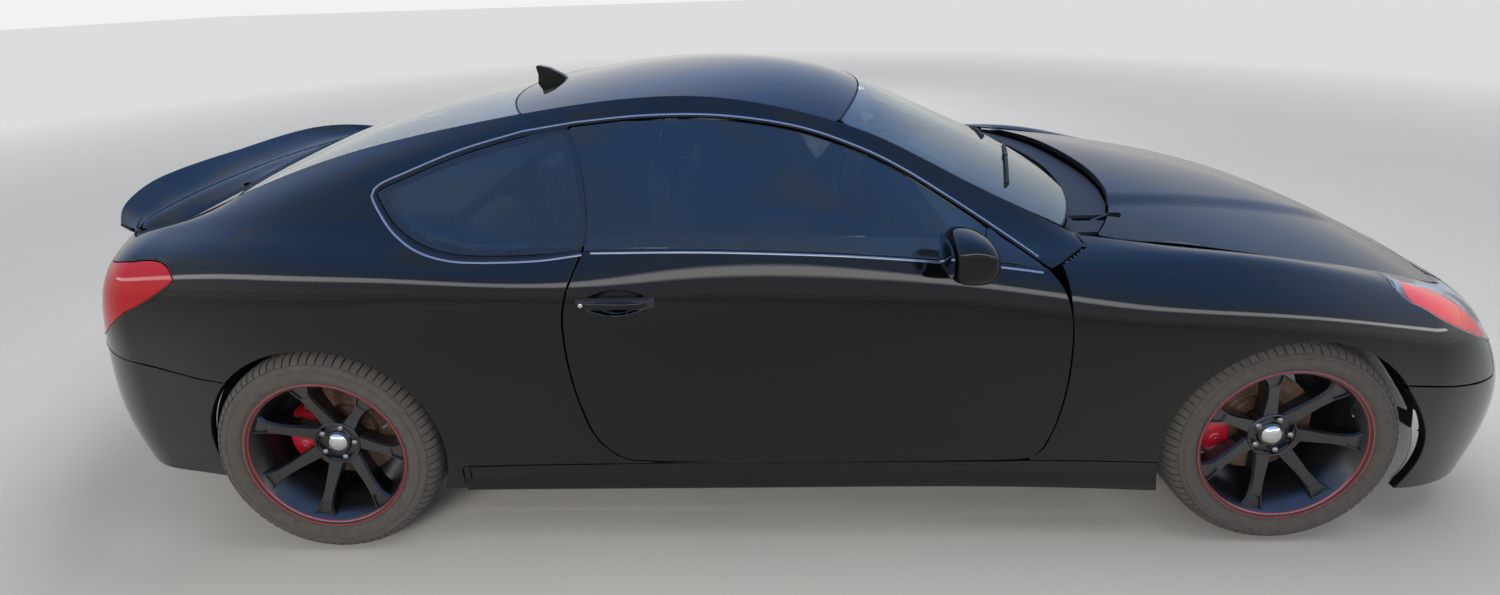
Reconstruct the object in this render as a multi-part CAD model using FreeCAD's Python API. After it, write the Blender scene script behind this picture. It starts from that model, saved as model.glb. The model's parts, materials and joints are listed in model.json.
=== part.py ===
# A full-size two-door fastback coupe: unit body with bolted and hinged panels, glazing,
# cabin, running gear and four road wheels. Millimetres, +X forward, +Y left, +Z up.
# The origin is on the ground under the centre of the car's bounding box.
import FreeCAD, Part
import math
import os

V = FreeCAD.Vector

# Driving dimensions of the car
LENGTH = 4630.0
WHEELBASE = 2820.0
FRONT_OVERHANG = 850.0
FRONT_AXLE_X = LENGTH / 2 - FRONT_OVERHANG
REAR_AXLE_X = FRONT_AXLE_X - WHEELBASE
FRONT_TRACK_HALF = 800.0
REAR_TRACK_HALF = 806.0
FRONT_TYRE_R = 330.0
REAR_TYRE_R = 339.0
FRONT_TYRE_W = 225.0
REAR_TYRE_W = 245.0
ARCH_R_FRONT = 356.0
ARCH_R_REAR = 362.0

# Gaps and walls
FIXED_GAP = 3.0
DOOR_GAP = 9.0
LID_GAP = 7.0
DOOR_WALL = 95.0
BODY_WALL = 55.0
TAIL_WALL = 12.0
FENDER_WALL = 8.0
BUMPER_WALL = 14.0
HEAD_LAMP_WALL = 25.0
GLASS = 5.0
ROOF_WALL = 28.0
HOOD_WALL = 22.0
LID_WALL = 20.0

# Where the side of the body turns into the nose and the tail, and the cowl corner
NOSE_X = 1850.0
TAIL_X = -1900.0
COWL_X = 940.0

# Feature lines of the side, one row of the skin each. Knots: (x, half width y, height z)
FEATURE_LINES = {
    "sill": [(-1900, 858, 240), (-1355, 895, 205), (-900, 888, 190), (0, 885, 188),
             (900, 886, 180), (1465, 894, 165), (1850, 872, 150)],
    "rocker": [(-1900, 880, 400), (-1355, 918, 360), (-900, 905, 345), (0, 900, 340),
               (900, 903, 340), (1465, 918, 345), (1850, 896, 335)],
    "waist": [(-1900, 888, 640), (-1355, 932, 640), (-900, 914, 620), (0, 902, 610),
              (900, 909, 610), (1465, 932, 610), (1850, 908, 545)],
    "shoulder": [(-1900, 845, 930), (-1600, 868, 947), (-1355, 880, 943), (-1100, 884, 922),
                 (-845, 886, 883), (-400, 886, 828),
                 (200, 893, 775), (900, 895, 758), (1465, 905, 752), (1850, 880, 672)],
    "belt": [(-1900, 745, 982), (-1600, 786, 1006), (-1355, 800, 1004), (-900, 822, 958),
             (-500, 832, 940),
             (0, 840, 930), (500, 842, 890), (850, 842, 846), (1200, 835, 838),
             (1465, 835, 818), (1850, 818, 740)],
    "crest": [(-1900, 704, 994), (-1600, 715, 1056), (-1355, 705, 1110), (-1000, 655, 1190),
              (-600, 628, 1258),
              (-200, 608, 1268), (200, 628, 1195), (550, 690, 1010), (800, 750, 900),
              (1000, 762, 878), (1465, 778, 848), (1850, 762, 762)],
}
ROWS = ["sill", "rocker", "waist", "shoulder", "belt", "crest", "rail"]

# Plan of the upper edge where the side meets hood, roof, rear window and deck: (x, half width y)
RAIL_PLAN = [(-1900, 668), (-1700, 630), (-1355, 580), (-1000, 566), (-600, 560), (-200, 558),
             (106, 572), (400, 604), (700, 650), (907, 680), (1050, 697), (1465, 712), (1850, 690)]

# How each row closes round the nose and the tail: (centre x, centre z, corner fullness)
NOSE_ROWS = {"sill": (2250, 165, 0.28), "rocker": (2298, 320, 0.32), "waist": (2315, 480, 0.40),
             "shoulder": (2312, 585, 0.48), "belt": (2303, 640, 0.52), "crest": (2290, 662, 0.56),
             "rail": (2276, None, 0.60)}
TAIL_ROWS = {"sill": (-2235, 262, 0.55), "rocker": (-2298, 405, 0.60), "waist": (-2315, 600, 0.68),
             "shoulder": (-2268, 868, 0.98), "belt": (-2260, 942, 0.78), "crest": (-2260, 958, 0.52),
             "rail": (-2268, None, 0.52)}

# Centre-line heights of the upper surfaces and their fall at a reference half width
HOOD_CENTRE = [(900, 950), (1118, 946), (1400, 925), (1620, 892), (1900, 836), (2078, 784),
               (2170, 748), (2285, 690)]
HOOD_FALL = [(900, 56), (1371, 78), (1850, 86), (2285, 112)]
HOOD_REF = 700.0
DOME_HEIGHT = 11.0
DOME_FLANK = 75.0
DOME_EDGE_REAR = 520.0
DOME_EDGE_FRONT = 360.0
ROOF_CENTRE = [(-1820, 1092), (-1658, 1148), (-1440, 1212), (-1240, 1254), (-1000, 1294),
               (-800, 1328), (-600, 1358), (-400, 1377), (-200, 1385), (0, 1379), (200, 1350),
               (350, 1306), (600, 1190), (907, 1040), (1120, 936)]
ROOF_FALL = [(-1820, 48), (-1240, 38), (-1000, 32), (-600, 36), (-200, 50), (106, 84),
             (350, 96), (600, 96), (907, 84), (1120, 80)]
ROOF_REF = 560.0
DECK_CENTRE = [(-2315, 972), (-2200, 984), (-2100, 998), (-2000, 1020), (-1900, 1052),
               (-1780, 1094)]
DECK_FALL = [(-2315, 40), (-2125, 46), (-1780, 72)]
DECK_REF = 680.0


def natural_spline(knots):
    """Smooth curve through (x, value) knots, straight beyond its ends."""
    xs = [k[0] for k in knots]
    vs = [k[1] for k in knots]
    n = len(xs)
    h = [xs[i + 1] - xs[i] for i in range(n - 1)]
    lower, diagonal, upper, right = [0.0] * n, [1.0] * n, [0.0] * n, [0.0] * n
    for i in range(1, n - 1):
        lower[i], diagonal[i], upper[i] = h[i - 1], 2 * (h[i - 1] + h[i]), h[i]
        right[i] = 6 * ((vs[i + 1] - vs[i]) / h[i] - (vs[i] - vs[i - 1]) / h[i - 1])
    for i in range(1, n):
        share = lower[i] / diagonal[i - 1]
        diagonal[i] -= share * upper[i - 1]
        right[i] -= share * right[i - 1]
    bend = [0.0] * n
    for i in range(n - 2, 0, -1):
        bend[i] = (right[i] - upper[i] * bend[i + 1]) / diagonal[i]

    def value(x):
        if x <= xs[0]:
            return vs[0] + (x - xs[0]) * ((vs[1] - vs[0]) / h[0] - h[0] * bend[1] / 6)
        if x >= xs[-1]:
            return vs[-1] + (x - xs[-1]) * ((vs[-1] - vs[-2]) / h[-1] + h[-1] * bend[-2] / 6)
        i = max(k for k in range(n - 1) if xs[k] <= x)
        a, b = x - xs[i], xs[i + 1] - x
        cubic = (bend[i] * b ** 3 + bend[i + 1] * a ** 3) / (6 * h[i])
        return (cubic + (vs[i] / h[i] - bend[i] * h[i] / 6) * b
                + (vs[i + 1] / h[i] - bend[i + 1] * h[i] / 6) * a)

    return value


def crowned(centre, fall, reference):
    """Height of an upper surface at (x, y): a centre line that falls away towards the sides."""
    centre_at, fall_at = natural_spline(centre), natural_spline(fall)
    return lambda x, y: centre_at(x) - fall_at(x) * (y / reference) ** 2


plain_hood_z = crowned(HOOD_CENTRE, HOOD_FALL, HOOD_REF)


def eased(share):
    """Smooth step from 0 to 1."""
    share = min(max(share, 0.0), 1.0)
    return share * share * (3 - 2 * share)


def hood_z(x, y):
    """Hood height with its raised middle, which narrows towards the nose."""
    edge = DOME_EDGE_REAR + (DOME_EDGE_FRONT - DOME_EDGE_REAR) * (x - 1100.0) / 1100.0
    rise = DOME_HEIGHT * eased((edge - abs(y)) / DOME_FLANK) * eased((2240.0 - x) / 260.0)
    return plain_hood_z(x, y) + rise


roof_z = crowned(ROOF_CENTRE, ROOF_FALL, ROOF_REF)
deck_z = crowned(DECK_CENTRE, DECK_FALL, DECK_REF)
rail_y = natural_spline(RAIL_PLAN)
line_y = {name: natural_spline([(k[0], k[1]) for k in knots]) for name, knots in FEATURE_LINES.items()}
line_z = {name: natural_spline([(k[0], k[2]) for k in knots]) for name, knots in FEATURE_LINES.items()}


def row_point(row, s, zone):
    """Half-width point of a feature row at station s: 0 to 1 round the tail, 1 to 2 along the
    side, 2 to 3 round the nose."""
    side_y = rail_y if row == "rail" else line_y[row]
    if row == "rail":
        side_z = lambda x: quarter_top(x) if zone == "cabin" else hood_z(x, rail_y(x))
    else:
        side_z = line_z[row]
    if 1 <= s <= 2:
        x = TAIL_X + (s - 1) * (NOSE_X - TAIL_X)
        return x, side_y(x), side_z(x)
    start, turn = (NOSE_X, s - 2) if s > 2 else (TAIL_X, 1 - s)
    end_x, end_z, full = (NOSE_ROWS if s > 2 else TAIL_ROWS)[row]
    angle = math.pi / 2 * (1 - (1 - turn) ** 1.5)
    reach = end_x - start
    x = start + reach * math.sin(angle)
    fade = math.cos(angle) ** 2
    step = 1.0 if reach > 0 else -1.0
    slope_y = (side_y(start) - side_y(start - step)) / step
    slope_z = (side_z(start) - side_z(start - step)) / step
    y = side_y(start) * max(math.cos(angle), 0.0) ** full + slope_y * (x - start) * fade
    if row == "rail":
        z = hood_z(x, y) if s > 2 else deck_z(x, y)
    else:
        z = side_z(start) + (end_z - side_z(start)) * math.sin(angle) ** 2 + slope_z * (x - start) * fade
    return x, y, z


def quarter_top(x):
    """Height of the rail behind the cowl: roof, then an easy fall to the deck's edge."""
    y = rail_y(x)
    if x > -1700:
        return roof_z(x, y)
    if x < -1900:
        return deck_z(x, y)
    share = (-1700 - x) / 200.0
    ease = share * share * (3 - 2 * share)
    return roof_z(x, y) * (1 - ease) + deck_z(x, y) * ease


def section(s, zone):
    """The section of the skin at station s, as a function of t: 0 at the sill, 1 at the rail."""
    points = [row_point(row, s, zone) for row in ROWS]
    marks = [0.0]
    for a, b in zip(points, points[1:]):
        marks.append(marks[-1] + math.dist(a, b) ** 0.7)
    marks = [m / marks[-1] for m in marks]
    curves = [natural_spline(list(zip(marks, [p[k] for p in points]))) for k in range(3)]
    return lambda t: V(curves[0](t), -curves[1](t), curves[2](t))


def skin_grid(s_values, zone, depth, rows=14):
    """Grid of points on the right-hand skin, moved inwards along its normal by depth(s)."""
    step = 0.01
    grid = []
    for s in s_values:
        here = section(s, zone)
        back, ahead = section(max(s - step, 0.0), zone), section(min(s + step, 3.0), zone)
        line = []
        for j in range(rows + 1):
            t = j / rows
            along = ahead(t) - back(t)
            up = here(min(t + step, 1.0)) - here(max(t - step, 0.0))
            outward = along.cross(up)
            outward.normalize()
            line.append(here(t) - outward * depth(s))
        grid.append(line)
    return grid


def surface_through(grid):
    surface = Part.BSplineSurface()
    surface.interpolate(grid)
    return surface


def solid_between(outer_grid, inner_grid):
    """Closed wall between two smooth surfaces through matching grids."""
    outer, inner = surface_through(outer_grid), surface_through(inner_grid)
    faces = [outer.toShape(), inner.toShape()]
    for end in (0, 1):
        faces.append(Part.makeRuledSurface(outer.uIso(end).toShape(), inner.uIso(end).toShape()))
        faces.append(Part.makeRuledSurface(outer.vIso(end).toShape(), inner.vIso(end).toShape()))
    shell = Part.makeShell(faces)
    shell.sewShape()
    solid = Part.makeSolid(shell)
    if solid.Volume < 0:
        solid.reverse()
    return solid


def spread(start, end, count):
    return [start + (end - start) * i / (count - 1) for i in range(count)]


def station(x):
    return 1 + (x - TAIL_X) / (NOSE_X - TAIL_X)


def skin_wall(s_values, zone, wall, rows=14, depth=0.0):
    """Wall of the right-hand skin, its outer face set in by depth."""
    thickness = wall if callable(wall) else lambda s: wall
    return solid_between(skin_grid(s_values, zone, lambda s: depth, rows),
                         skin_grid(s_values, zone, lambda s: depth + thickness(s), rows))


def body_wall(s):
    """Box-section sides, easing to a single panel round the tail."""
    share = min(max((s - 1.0) / 0.12, 0.0), 1.0)
    return TAIL_WALL + (BODY_WALL - TAIL_WALL) * share


def upper_wall(height, x_range, half_width, wall, nx=9, ny=9):
    """Wall under an upper surface z = height(x, y), over a rectangle in plan."""
    grids = []
    for depth in (0.0, wall):
        grids.append([[V(x, y, height(x, y) - depth) for y in spread(-half_width, half_width, ny)]
                      for x in spread(x_range[0], x_range[1], nx)])
    return solid_between(grids[0], grids[1])


def prism_y(outline, y_from, y_to):
    """Prism along Y of an outline of (x, z) points."""
    wire = Part.makePolygon([V(x, y_from, z) for x, z in outline + outline[:1]])
    return Part.Face(wire).extrude(V(0, y_to - y_from, 0))


def prism_z(outline, z_from, z_to):
    """Prism along Z of an outline of (x, y) points."""
    wire = Part.makePolygon([V(x, y, z_from) for x, y in outline + outline[:1]])
    return Part.Face(wire).extrude(V(0, 0, z_to - z_from))


def prism_x(outline, x_from, x_to):
    """Prism along X of an outline of (y, z) points."""
    wire = Part.makePolygon([V(x_from, y, z) for y, z in outline + outline[:1]])
    return Part.Face(wire).extrude(V(x_to - x_from, 0, 0))


def box(x, y, z):
    """Box from ranges of x, y and z."""
    return Part.makeBox(x[1] - x[0], y[1] - y[0], z[1] - z[0], V(x[0], y[0], z[0]))


def cylinder_y(x, y, z, radius, length):
    return Part.makeCylinder(radius, length, V(x, y, z), V(0, 1, 0))


def rod(start, end, radius):
    a, b = V(*start), V(*end)
    return Part.makeCylinder(radius, (b - a).Length, a, b - a)


def mirrored(shape):
    """The same piece on the other side of the car."""
    return shape.mirror(V(0, 0, 0), V(0, 1, 0))


def fused(shapes):
    whole = shapes[0].fuse(shapes[1:]) if len(shapes) > 1 else shapes[0]
    return whole.removeSplitter()


def largest(shape):
    return max(shape.Solids, key=lambda solid: solid.Volume)


def carved(shape, tools):
    """Cuts the tools away one by one and keeps the main piece."""
    for tool in tools:
        shape = largest(shape.cut(tool))
    return shape


def grown(outline, distance):
    """Outline of (x, z) points moved outwards by a distance, corners kept sharp."""
    wire = Part.makePolygon([V(x, 0, z) for x, z in outline + outline[:1]])
    wider = Part.Face(wire).makeOffset2D(distance, 2)
    points = [v.Point for v in wider.OuterWire.OrderedVertexes]
    return [(p.x, p.z) for p in points]


# Shut lines and window outlines in side view, (x, z)
DOOR_LOWER = [(-548, 943), (-575, 880), (-597, 800), (-600, 700), (-590, 590), (-570, 490),
              (-538, 390), (-500, 335), (-455, 302), (-400, 292), (690, 284), (735, 290),
              (768, 315), (792, 370), (812, 450), (826, 550), (830, 660), (828, 760), (815, 820),
              (790, 858)]
DOOR_TOP = [(790, 858), (640, 880), (449, 902), (222, 922), (0, 934), (-207, 941), (-548, 943)]
DOOR_GLASS_TOP = [(-548, 943), (-628, 1262), (-402, 1277), (-150, 1270), (102, 1228),
                  (285, 1162), (403, 1103), (564, 1003), (700, 915), (790, 858)]
QUARTER_GLASS = [(-554, 945), (-634, 1262), (-778, 1240), (-975, 1190), (-1136, 1132),
                 (-1196, 1108), (-1210, 1095), (-1200, 1080), (-1136, 1018), (-1080, 985),
                 (-1019, 962), (-940, 944), (-861, 936), (-677, 934)]
HEAD_LAMP = [(1806, 760), (1846, 766), (1915, 750), (2025, 722), (2132, 690), (2200, 664),
             (2250, 632), (2252, 596), (2190, 562), (2150, 572), (2070, 608), (1988, 646),
             (1897, 692), (1846, 726), (1815, 742)]
TAIL_LAMP = [(-1735, 900), (-1742, 920), (-1760, 943), (-1811, 948), (-1870, 943), (-1970, 928),
             (-2080, 905), (-2400, 880), (-2400, 676), (-2160, 676), (-2050, 700), (-1960, 762),
             (-1887, 810), (-1811, 842), (-1760, 873)]
TAIL_LAMP_INNER_Y = 505.0
LID_FOOT = 684.0
BUMPER_REAR_TOP = [(-1600, 585), (-1700, 598), (-1888, 636), (-2050, 655), (-2160, 666), (-2500, 680)]
BUMPER_FRONT_TOP = [(1700, 536), (1860, 522), (2018, 507), (2090, 500), (2138, 562), (2244, 550), (2400, 575)]
HINGE_AXIS = (760.0, -890.0)
HINGE_HEIGHTS = (420.0, 660.0)
PIN_R = 5.0
PIN_HALF = 32.0
EYE_R = 9.0
ARM_HALF = 10.0
HINGE_ARM = [(-3.9, 1.1), (12.8, 63.2), (48.5, 76.5), (96, 76.5), (96, 67.5), (51.5, 67.5), (20.5, 57), (3.9, -1.1)]
FENDER_REAR = [(838, 858), (836, 760), (838, 660), (834, 550), (820, 450), (800, 370),
               (776, 312), (745, 290)]


def half_space_below(top_line, bottom, y_from, y_to):
    """Prism of what lies under a line of (x, z) points."""
    first, last = top_line[0], top_line[-1]
    return prism_y(top_line + [(last[0], bottom), (first[0], bottom)], y_from, y_to)


def door_outline():
    return DOOR_LOWER + DOOR_TOP[1:-1]


def door_glass_outline():
    return DOOR_GLASS_TOP[:-1] + DOOR_TOP[:-1]


def fan(centre, radius, start, end, z_range):
    """Wedge about a vertical axis, from one angle in plan to another, in degrees."""
    angles = [math.radians(a) for a in spread(start, end, 7)]
    rim = [(centre[0] + radius * math.cos(a), centre[1] + radius * math.sin(a)) for a in angles]
    return prism_z([centre] + rim, *z_range)


def upright(centre, radius, z_range):
    """Vertical round bar."""
    return Part.makeCylinder(radius, z_range[1] - z_range[0], V(centre[0], centre[1], z_range[0]))


def hinge_pocket(height):
    """Room in the door's front edge for a hinge arm that swings, and the pin's bore."""
    near, wide = (height - ARM_HALF - 4, height + ARM_HALF + 4), (height - PIN_HALF, height + PIN_HALF)
    return [fan(HINGE_AXIS, 120, -11, 99, near), upright(HINGE_AXIS, EYE_R + 3, near),
            upright(HINGE_AXIS, PIN_R + 0.4, wide)]


def handle_shapes():
    """Lozenge recess and the bar that bridges it, from (x, z) and (x, y) outlines."""
    recess = prism_y([(-552, 808), (-500, 776), (-400, 776), (-350, 812), (-400, 846), (-500, 844)], -872, -1000)
    bar = prism_z([(-570, -872), (-564, -894), (-530, -906), (-370, -908), (-338, -896), (-330, -874), (-352, -874),
                   (-374, -892), (-526, -890), (-550, -872)], 800, 828)
    return recess, bar


def make_door():
    """Hollow-looking thick door below the waist rail, frameless glass above it."""
    slab = skin_wall(spread(station(-700), station(930), 9), "cabin", DOOR_WALL, 10)
    door = slab.common(prism_y(door_outline(), -1300, -300))
    recess, bar = handle_shapes()
    pockets = [tool for height in HINGE_HEIGHTS for tool in hinge_pocket(height)]
    door = carved(door, [recess, box((60, 420), (-840, -790), (560, 620))] + pockets)
    return largest(door.fuse(bar))


def make_hinge_pillars():
    """Box pillar ahead of each door, with the two arms and pins that the door hangs on."""
    pillar = box((850, 930), (-850, -768), (277, 790))
    parts = [pillar]
    for height in HINGE_HEIGHTS:
        near = (height - ARM_HALF, height + ARM_HALF)
        arm = prism_z([(HINGE_AXIS[0] + dx, HINGE_AXIS[1] + dy) for dx, dy in HINGE_ARM], *near)
        eye = upright(HINGE_AXIS, EYE_R, near)
        pin = upright(HINGE_AXIS, PIN_R, (height - PIN_HALF + 2, height + PIN_HALF - 2))
        parts += [arm, eye, pin]
    return both_sides(fused(parts))


def make_door_glass():
    pane = skin_wall(spread(station(-720), station(900), 9), "cabin", GLASS, 14, depth=12)
    return pane.common(prism_y(grown(door_glass_outline(), -2.0), -1300, -300))


def make_quarter_glass():
    pane = skin_wall(spread(station(-1300), station(-480), 7), "cabin", GLASS, 14, depth=8)
    return pane.common(prism_y(grown(QUARTER_GLASS, -FIXED_GAP), -1300, -300))


def arch(axle_x, axle_z, radius):
    return cylinder_y(axle_x, -1300, axle_z, radius, 1000)


def make_body_side():
    """Quarter panel, rear pillar, roof rail and windscreen pillar in one welded pressing."""
    stations = spread(0.2, 1.0, 8)[:-1] + spread(1.0, station(COWL_X), 17)
    side = skin_wall(stations, "cabin", body_wall, 14)
    fender_zone = [(x - FIXED_GAP, z) for x, z in FENDER_REAR]
    fender_zone += [(742, 60), (1500, 60), (1500, 900), (951, 891), (835, 868)]
    opening = fused([prism_y(grown(door_outline(), DOOR_GAP), -1300, -200),
                     prism_y(grown(door_glass_outline(), DOOR_GAP), -1300, -200)])
    bumper_line = [(x, z + FIXED_GAP) for x, z in BUMPER_REAR_TOP]
    return carved(side, [
        prism_y(fender_zone, -1300, -200),
        opening,
        prism_y(QUARTER_GLASS, -1300, -200),
        arch(REAR_AXLE_X, REAR_TYRE_R, ARCH_R_REAR),
        box((-960, COWL_X + 10), (-1300, -200), (100, 280)),
        box((-2500, -1300), (-1300, 100), (100, 560)),
        inside_rail((-2300, 960)),
        half_space_below(bumper_line, 100, -1300, 100),
        prism_y(grown(TAIL_LAMP, FIXED_GAP), -1300, 100),
        box((-2500, -1700), (-TAIL_LAMP_INNER_Y, 100), (100, 1200))])


def make_fender():
    stations = spread(station(730), 2.0, 9) + spread(2.0, 2.8, 6)[1:]
    skin = skin_wall(stations, "front", FENDER_WALL, 12)
    outline = list(reversed(FENDER_REAR)) + [(838, 864), (948, 884), (948, 1100), (2600, 1100), (2600, 100), (745, 100)]
    bumper_line = [(x, z + FIXED_GAP) for x, z in BUMPER_FRONT_TOP]
    return carved(skin.common(prism_y(outline, -1300, 0)), [
        arch(FRONT_AXLE_X, FRONT_TYRE_R, ARCH_R_FRONT),
        box((700, 1400), (-1300, 0), (100, 280)),
        prism_z(hood_outline(-LID_GAP), 400, 1600),
        half_space_below(bumper_line, 100, -1300, 100),
        prism_y(grown(HEAD_LAMP, FIXED_GAP), -1300, 0),
        box((2100, 2600), (-1300, 100), (100, 1200))])


def both_sides(shape):
    return Part.makeCompound([shape, mirrored(shape)])


def trimmed_to_rail(shape, x_range, inset):
    """Keeps what lies between the two rails in plan, less an inset."""
    xs = spread(x_range[0], x_range[1], 25)
    outline = [(x, -(rail_y(x) - inset)) for x in xs] + [(x, rail_y(x) - inset) for x in reversed(xs)]
    return shape.common(prism_z(outline, 400, 1600))


def inside_rail(x_range):
    """Prism of what lies inside the right-hand rail in plan."""
    xs = spread(x_range[0], x_range[1], 25)
    return prism_z([(x, -rail_y(x)) for x in xs] + [(x, 300) for x in reversed(xs)], 500, 1600)


def arc_line(side, centre, half_width, count=13, power=2.0):
    """Line of (x, y) points across the car, bowed from its ends at x side to its middle at x centre."""
    ys = spread(-half_width, half_width, count)
    return [(centre + (side - centre) * abs(y / half_width) ** power, y) for y in ys]


HEADER = arc_line(236, 385, 560, power=1.8)
GLASS_BASE = arc_line(905, 1125, 680, power=2.4)
ROOF_REAR = arc_line(-800, -972, 570)
REAR_GLASS_BASE = arc_line(-1752, -1886, 606)
LID_FRONT = arc_line(-1764, -1898, 606)
HOOD_REAR = arc_line(1008, 1262, 692, power=2.9)
HOOD_FRONT = arc_line(2130, 2262, 634, 15)
HOOD_HINGE = (1012, 862)
HORN_Y = 560.0
HORN_SLOT = 36.0
HOOD_SIDE = [(1021, 682), (1125, 706), (1371, 715), (1630, 710), (1914, 692), (2060, 664), (2130, 634)]


def between(back, front, gap):
    """Plan outline between two lines that cross the car, with a gap at each."""
    return [(x + gap, y) for x, y in back] + [(x - gap, y) for x, y in reversed(front)]


def make_roof():
    sheet = upper_wall(roof_z, (-1000, 420), 640, ROOF_WALL, 9, 9)
    sheet = sheet.common(prism_z(between(ROOF_REAR, HEADER, 2.0), 400, 1600))
    panel = trimmed_to_rail(sheet, (-1100, 500), FIXED_GAP)
    fin = prism_y([(-955, 1285), (-815, 1310), (-850, 1340), (-905, 1369), (-948, 1380), (-958, 1376),
                   (-950, 1340)], -13, 13)
    fin = fin.cut(prism_y([(-960, 1250), (-800, 1285), (-800, 1300), (-960, 1275)], -20, 20))
    return largest(panel.fuse(fin))


def make_windshield():
    sheet = upper_wall(roof_z, (200, 1130), 760, GLASS, 9, 9)
    sheet = sheet.common(prism_z(between(HEADER, GLASS_BASE, 2.0), 400, 1600))
    return trimmed_to_rail(sheet, (150, 1150), FIXED_GAP)


def make_rear_window():
    sheet = upper_wall(roof_z, (-1900, -780), 700, GLASS, 11, 9)
    sheet = sheet.common(prism_z(between(REAR_GLASS_BASE, ROOF_REAR, 2.0), 400, 1600))
    return trimmed_to_rail(sheet, (-1900, -750), FIXED_GAP)


def cowl_z(x, y):
    return 912.0 - 30.0 * (y / 680.0) ** 2


def make_cowl():
    """Black scuttle sunk between the windscreen and the hood."""
    sheet = upper_wall(cowl_z, (880, 1270), 720, 12, 5, 7)
    sheet = sheet.common(prism_z(between(GLASS_BASE, HOOD_REAR, 3.0), 400, 1600))
    under_hood = [(x - 9, y) for x, y in HOOD_REAR] + [(999, 740), (1400, 740), (1400, -740), (999, -740)]
    sheet = sheet.cut(prism_z(under_hood, 400, 1600))
    for y in (-HORN_Y, HORN_Y):
        sheet = sheet.cut(box((1000, 1200), (y - HORN_SLOT / 2, y + HORN_SLOT / 2), (800, 1000)))
    for y in (-695, 695):
        sheet = sheet.cut(box((972, 1200), (y - 45, y + 45), (800, 1000)))
    pillar = skin_wall(spread(station(820), station(980), 5), "cabin", BODY_WALL + FIXED_GAP, 10)
    wing = skin_wall(spread(station(880), station(1150), 5), "front", FENDER_WALL + FIXED_GAP, 10)
    return carved(sheet, [pillar, mirrored(pillar), wing, mirrored(wing)])


def hood_outline(gap):
    left = [(x, y - gap) for x, y in HOOD_SIDE]
    right = [(x, -y) for x, y in reversed(left)]
    return [(x + gap, y) for x, y in HOOD_REAR][1:-1] + left + [(x - gap, y) for x, y in reversed(HOOD_FRONT)][1:-1] + right


def make_hood():
    """Domed hood with two hinge horns under its rear corners."""
    sheet = upper_wall(hood_z, (980, 2300), 740, HOOD_WALL, 25, 25)
    sheet = sheet.common(prism_z(hood_outline(0.0), 400, 1600))
    horns = []
    for y in (-HORN_Y, HORN_Y):
        horn = prism_y([(HOOD_HINGE[0] - 8, HOOD_HINGE[1] - 8), (1160, 842), (1160, 905), (1120, 905)], y - 6, y + 6)
        horns += [horn, cylinder_y(HOOD_HINGE[0], y - 12, HOOD_HINGE[1], 9, 24)]
    return fused([sheet] + horns)


# Rear edge of the lip spoiler against half width: (half width y, x, z)
SPOILER_EDGE = [(0, -2315, 1046), (300, -2306, 1046), (400, -2289, 1040), (500, -2252, 1025),
                (580, -2208, 1003), (643, -2146, 978)]
SPOILER_CHORD = [(0, 135), (400, 120), (643, 55)]
TRUNK_HINGE = (-1757, 1062)
# Side view of a lid arm about its pin: down from the pin, back under the glass, up to the lid
GOOSENECK = [(-7, 0), (-5, -72), (-12, -79), (-45, -79), (-92, -64), (-128, -32), (-160, -32), (-160, -52),
             (-140, -54), (-104, -82), (-48, -97), (-4, -97), (8, -86), (8, 0)]


def lid_outline():
    """Plan of the lid: its bowed front edge, then the rail round both rear corners."""
    rail = [row_point("rail", s, "cabin") for s in spread(station(-1762), 0.0, 30)]
    right = [(x, -y) for x, y, z in rail]
    wire = [(x, y) for x, y in reversed(LID_FRONT)] + right + [(x, -y) for x, y in reversed(right[:-1])]
    return wire


def spoiler_section(y, under):
    """Line of points over the spoiler from its root to its rear edge, or along its underside."""
    edge_x = natural_spline([(k[0], k[1]) for k in SPOILER_EDGE])(abs(y))
    edge_z = natural_spline([(k[0], k[2]) for k in SPOILER_EDGE])(abs(y))
    root_x = edge_x + natural_spline(SPOILER_CHORD)(abs(y))
    root_z = deck_z(root_x, y)
    line = []
    for share in (0.0, 0.35, 0.7, 1.0):
        drop = (15.0 - 3.0 * share) if under else 0.0
        line.append(V(root_x + (edge_x - root_x) * share, y, root_z + (edge_z - root_z) * share ** 1.6 - drop))
    return line


def make_trunk_lid():
    """Deck and upright tail face in one lid, with the lip spoiler along its rear edge."""
    outline = Part.Face(Part.makePolygon([V(x, y, 500) for x, y in lid_outline() + lid_outline()[:1]]))
    inset = outline.makeOffset2D(-LID_GAP, 2)
    deck = upper_wall(deck_z, (-2300, -1740), 690, LID_WALL, 11, 11)
    deck = largest(deck.common(inset.extrude(V(0, 0, 1100))))
    face = tail_shell(LID_WALL, spread(0.0, 0.75, 6))
    face = largest(face.common(box((-2400, -2150), (-TAIL_LAMP_INNER_Y + LID_GAP, TAIL_LAMP_INNER_Y - LID_GAP),
                                   (LID_FOOT, 1010))))
    ys = spread(-643, 643, 23)
    spoiler = solid_between([spoiler_section(y, False) for y in ys], [spoiler_section(y, True) for y in ys])
    horns = []
    for y in (-420, 420):
        arm = [(TRUNK_HINGE[0] + dx, TRUNK_HINGE[1] + dz) for dx, dz in GOOSENECK]
        horns.append(prism_y(arm, y - 6, y + 6))
        horns.append(cylinder_y(TRUNK_HINGE[0], y - 12, TRUNK_HINGE[1], 9, 24))
    bore = cylinder_y(TRUNK_HINGE[0], -440, TRUNK_HINGE[1], 5.0, 880)
    return largest(fused([deck, face, spoiler] + horns).cut(bore))


def tail_shell(wall, s_values, rows=12):
    """Skin across the tail from one side to the other."""
    return end_shell(wall, sorted(s_values), "cabin", rows)


def nose_shell(wall, s_values, rows=12):
    return end_shell(wall, sorted(s_values, reverse=True), "front", rows)


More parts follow.
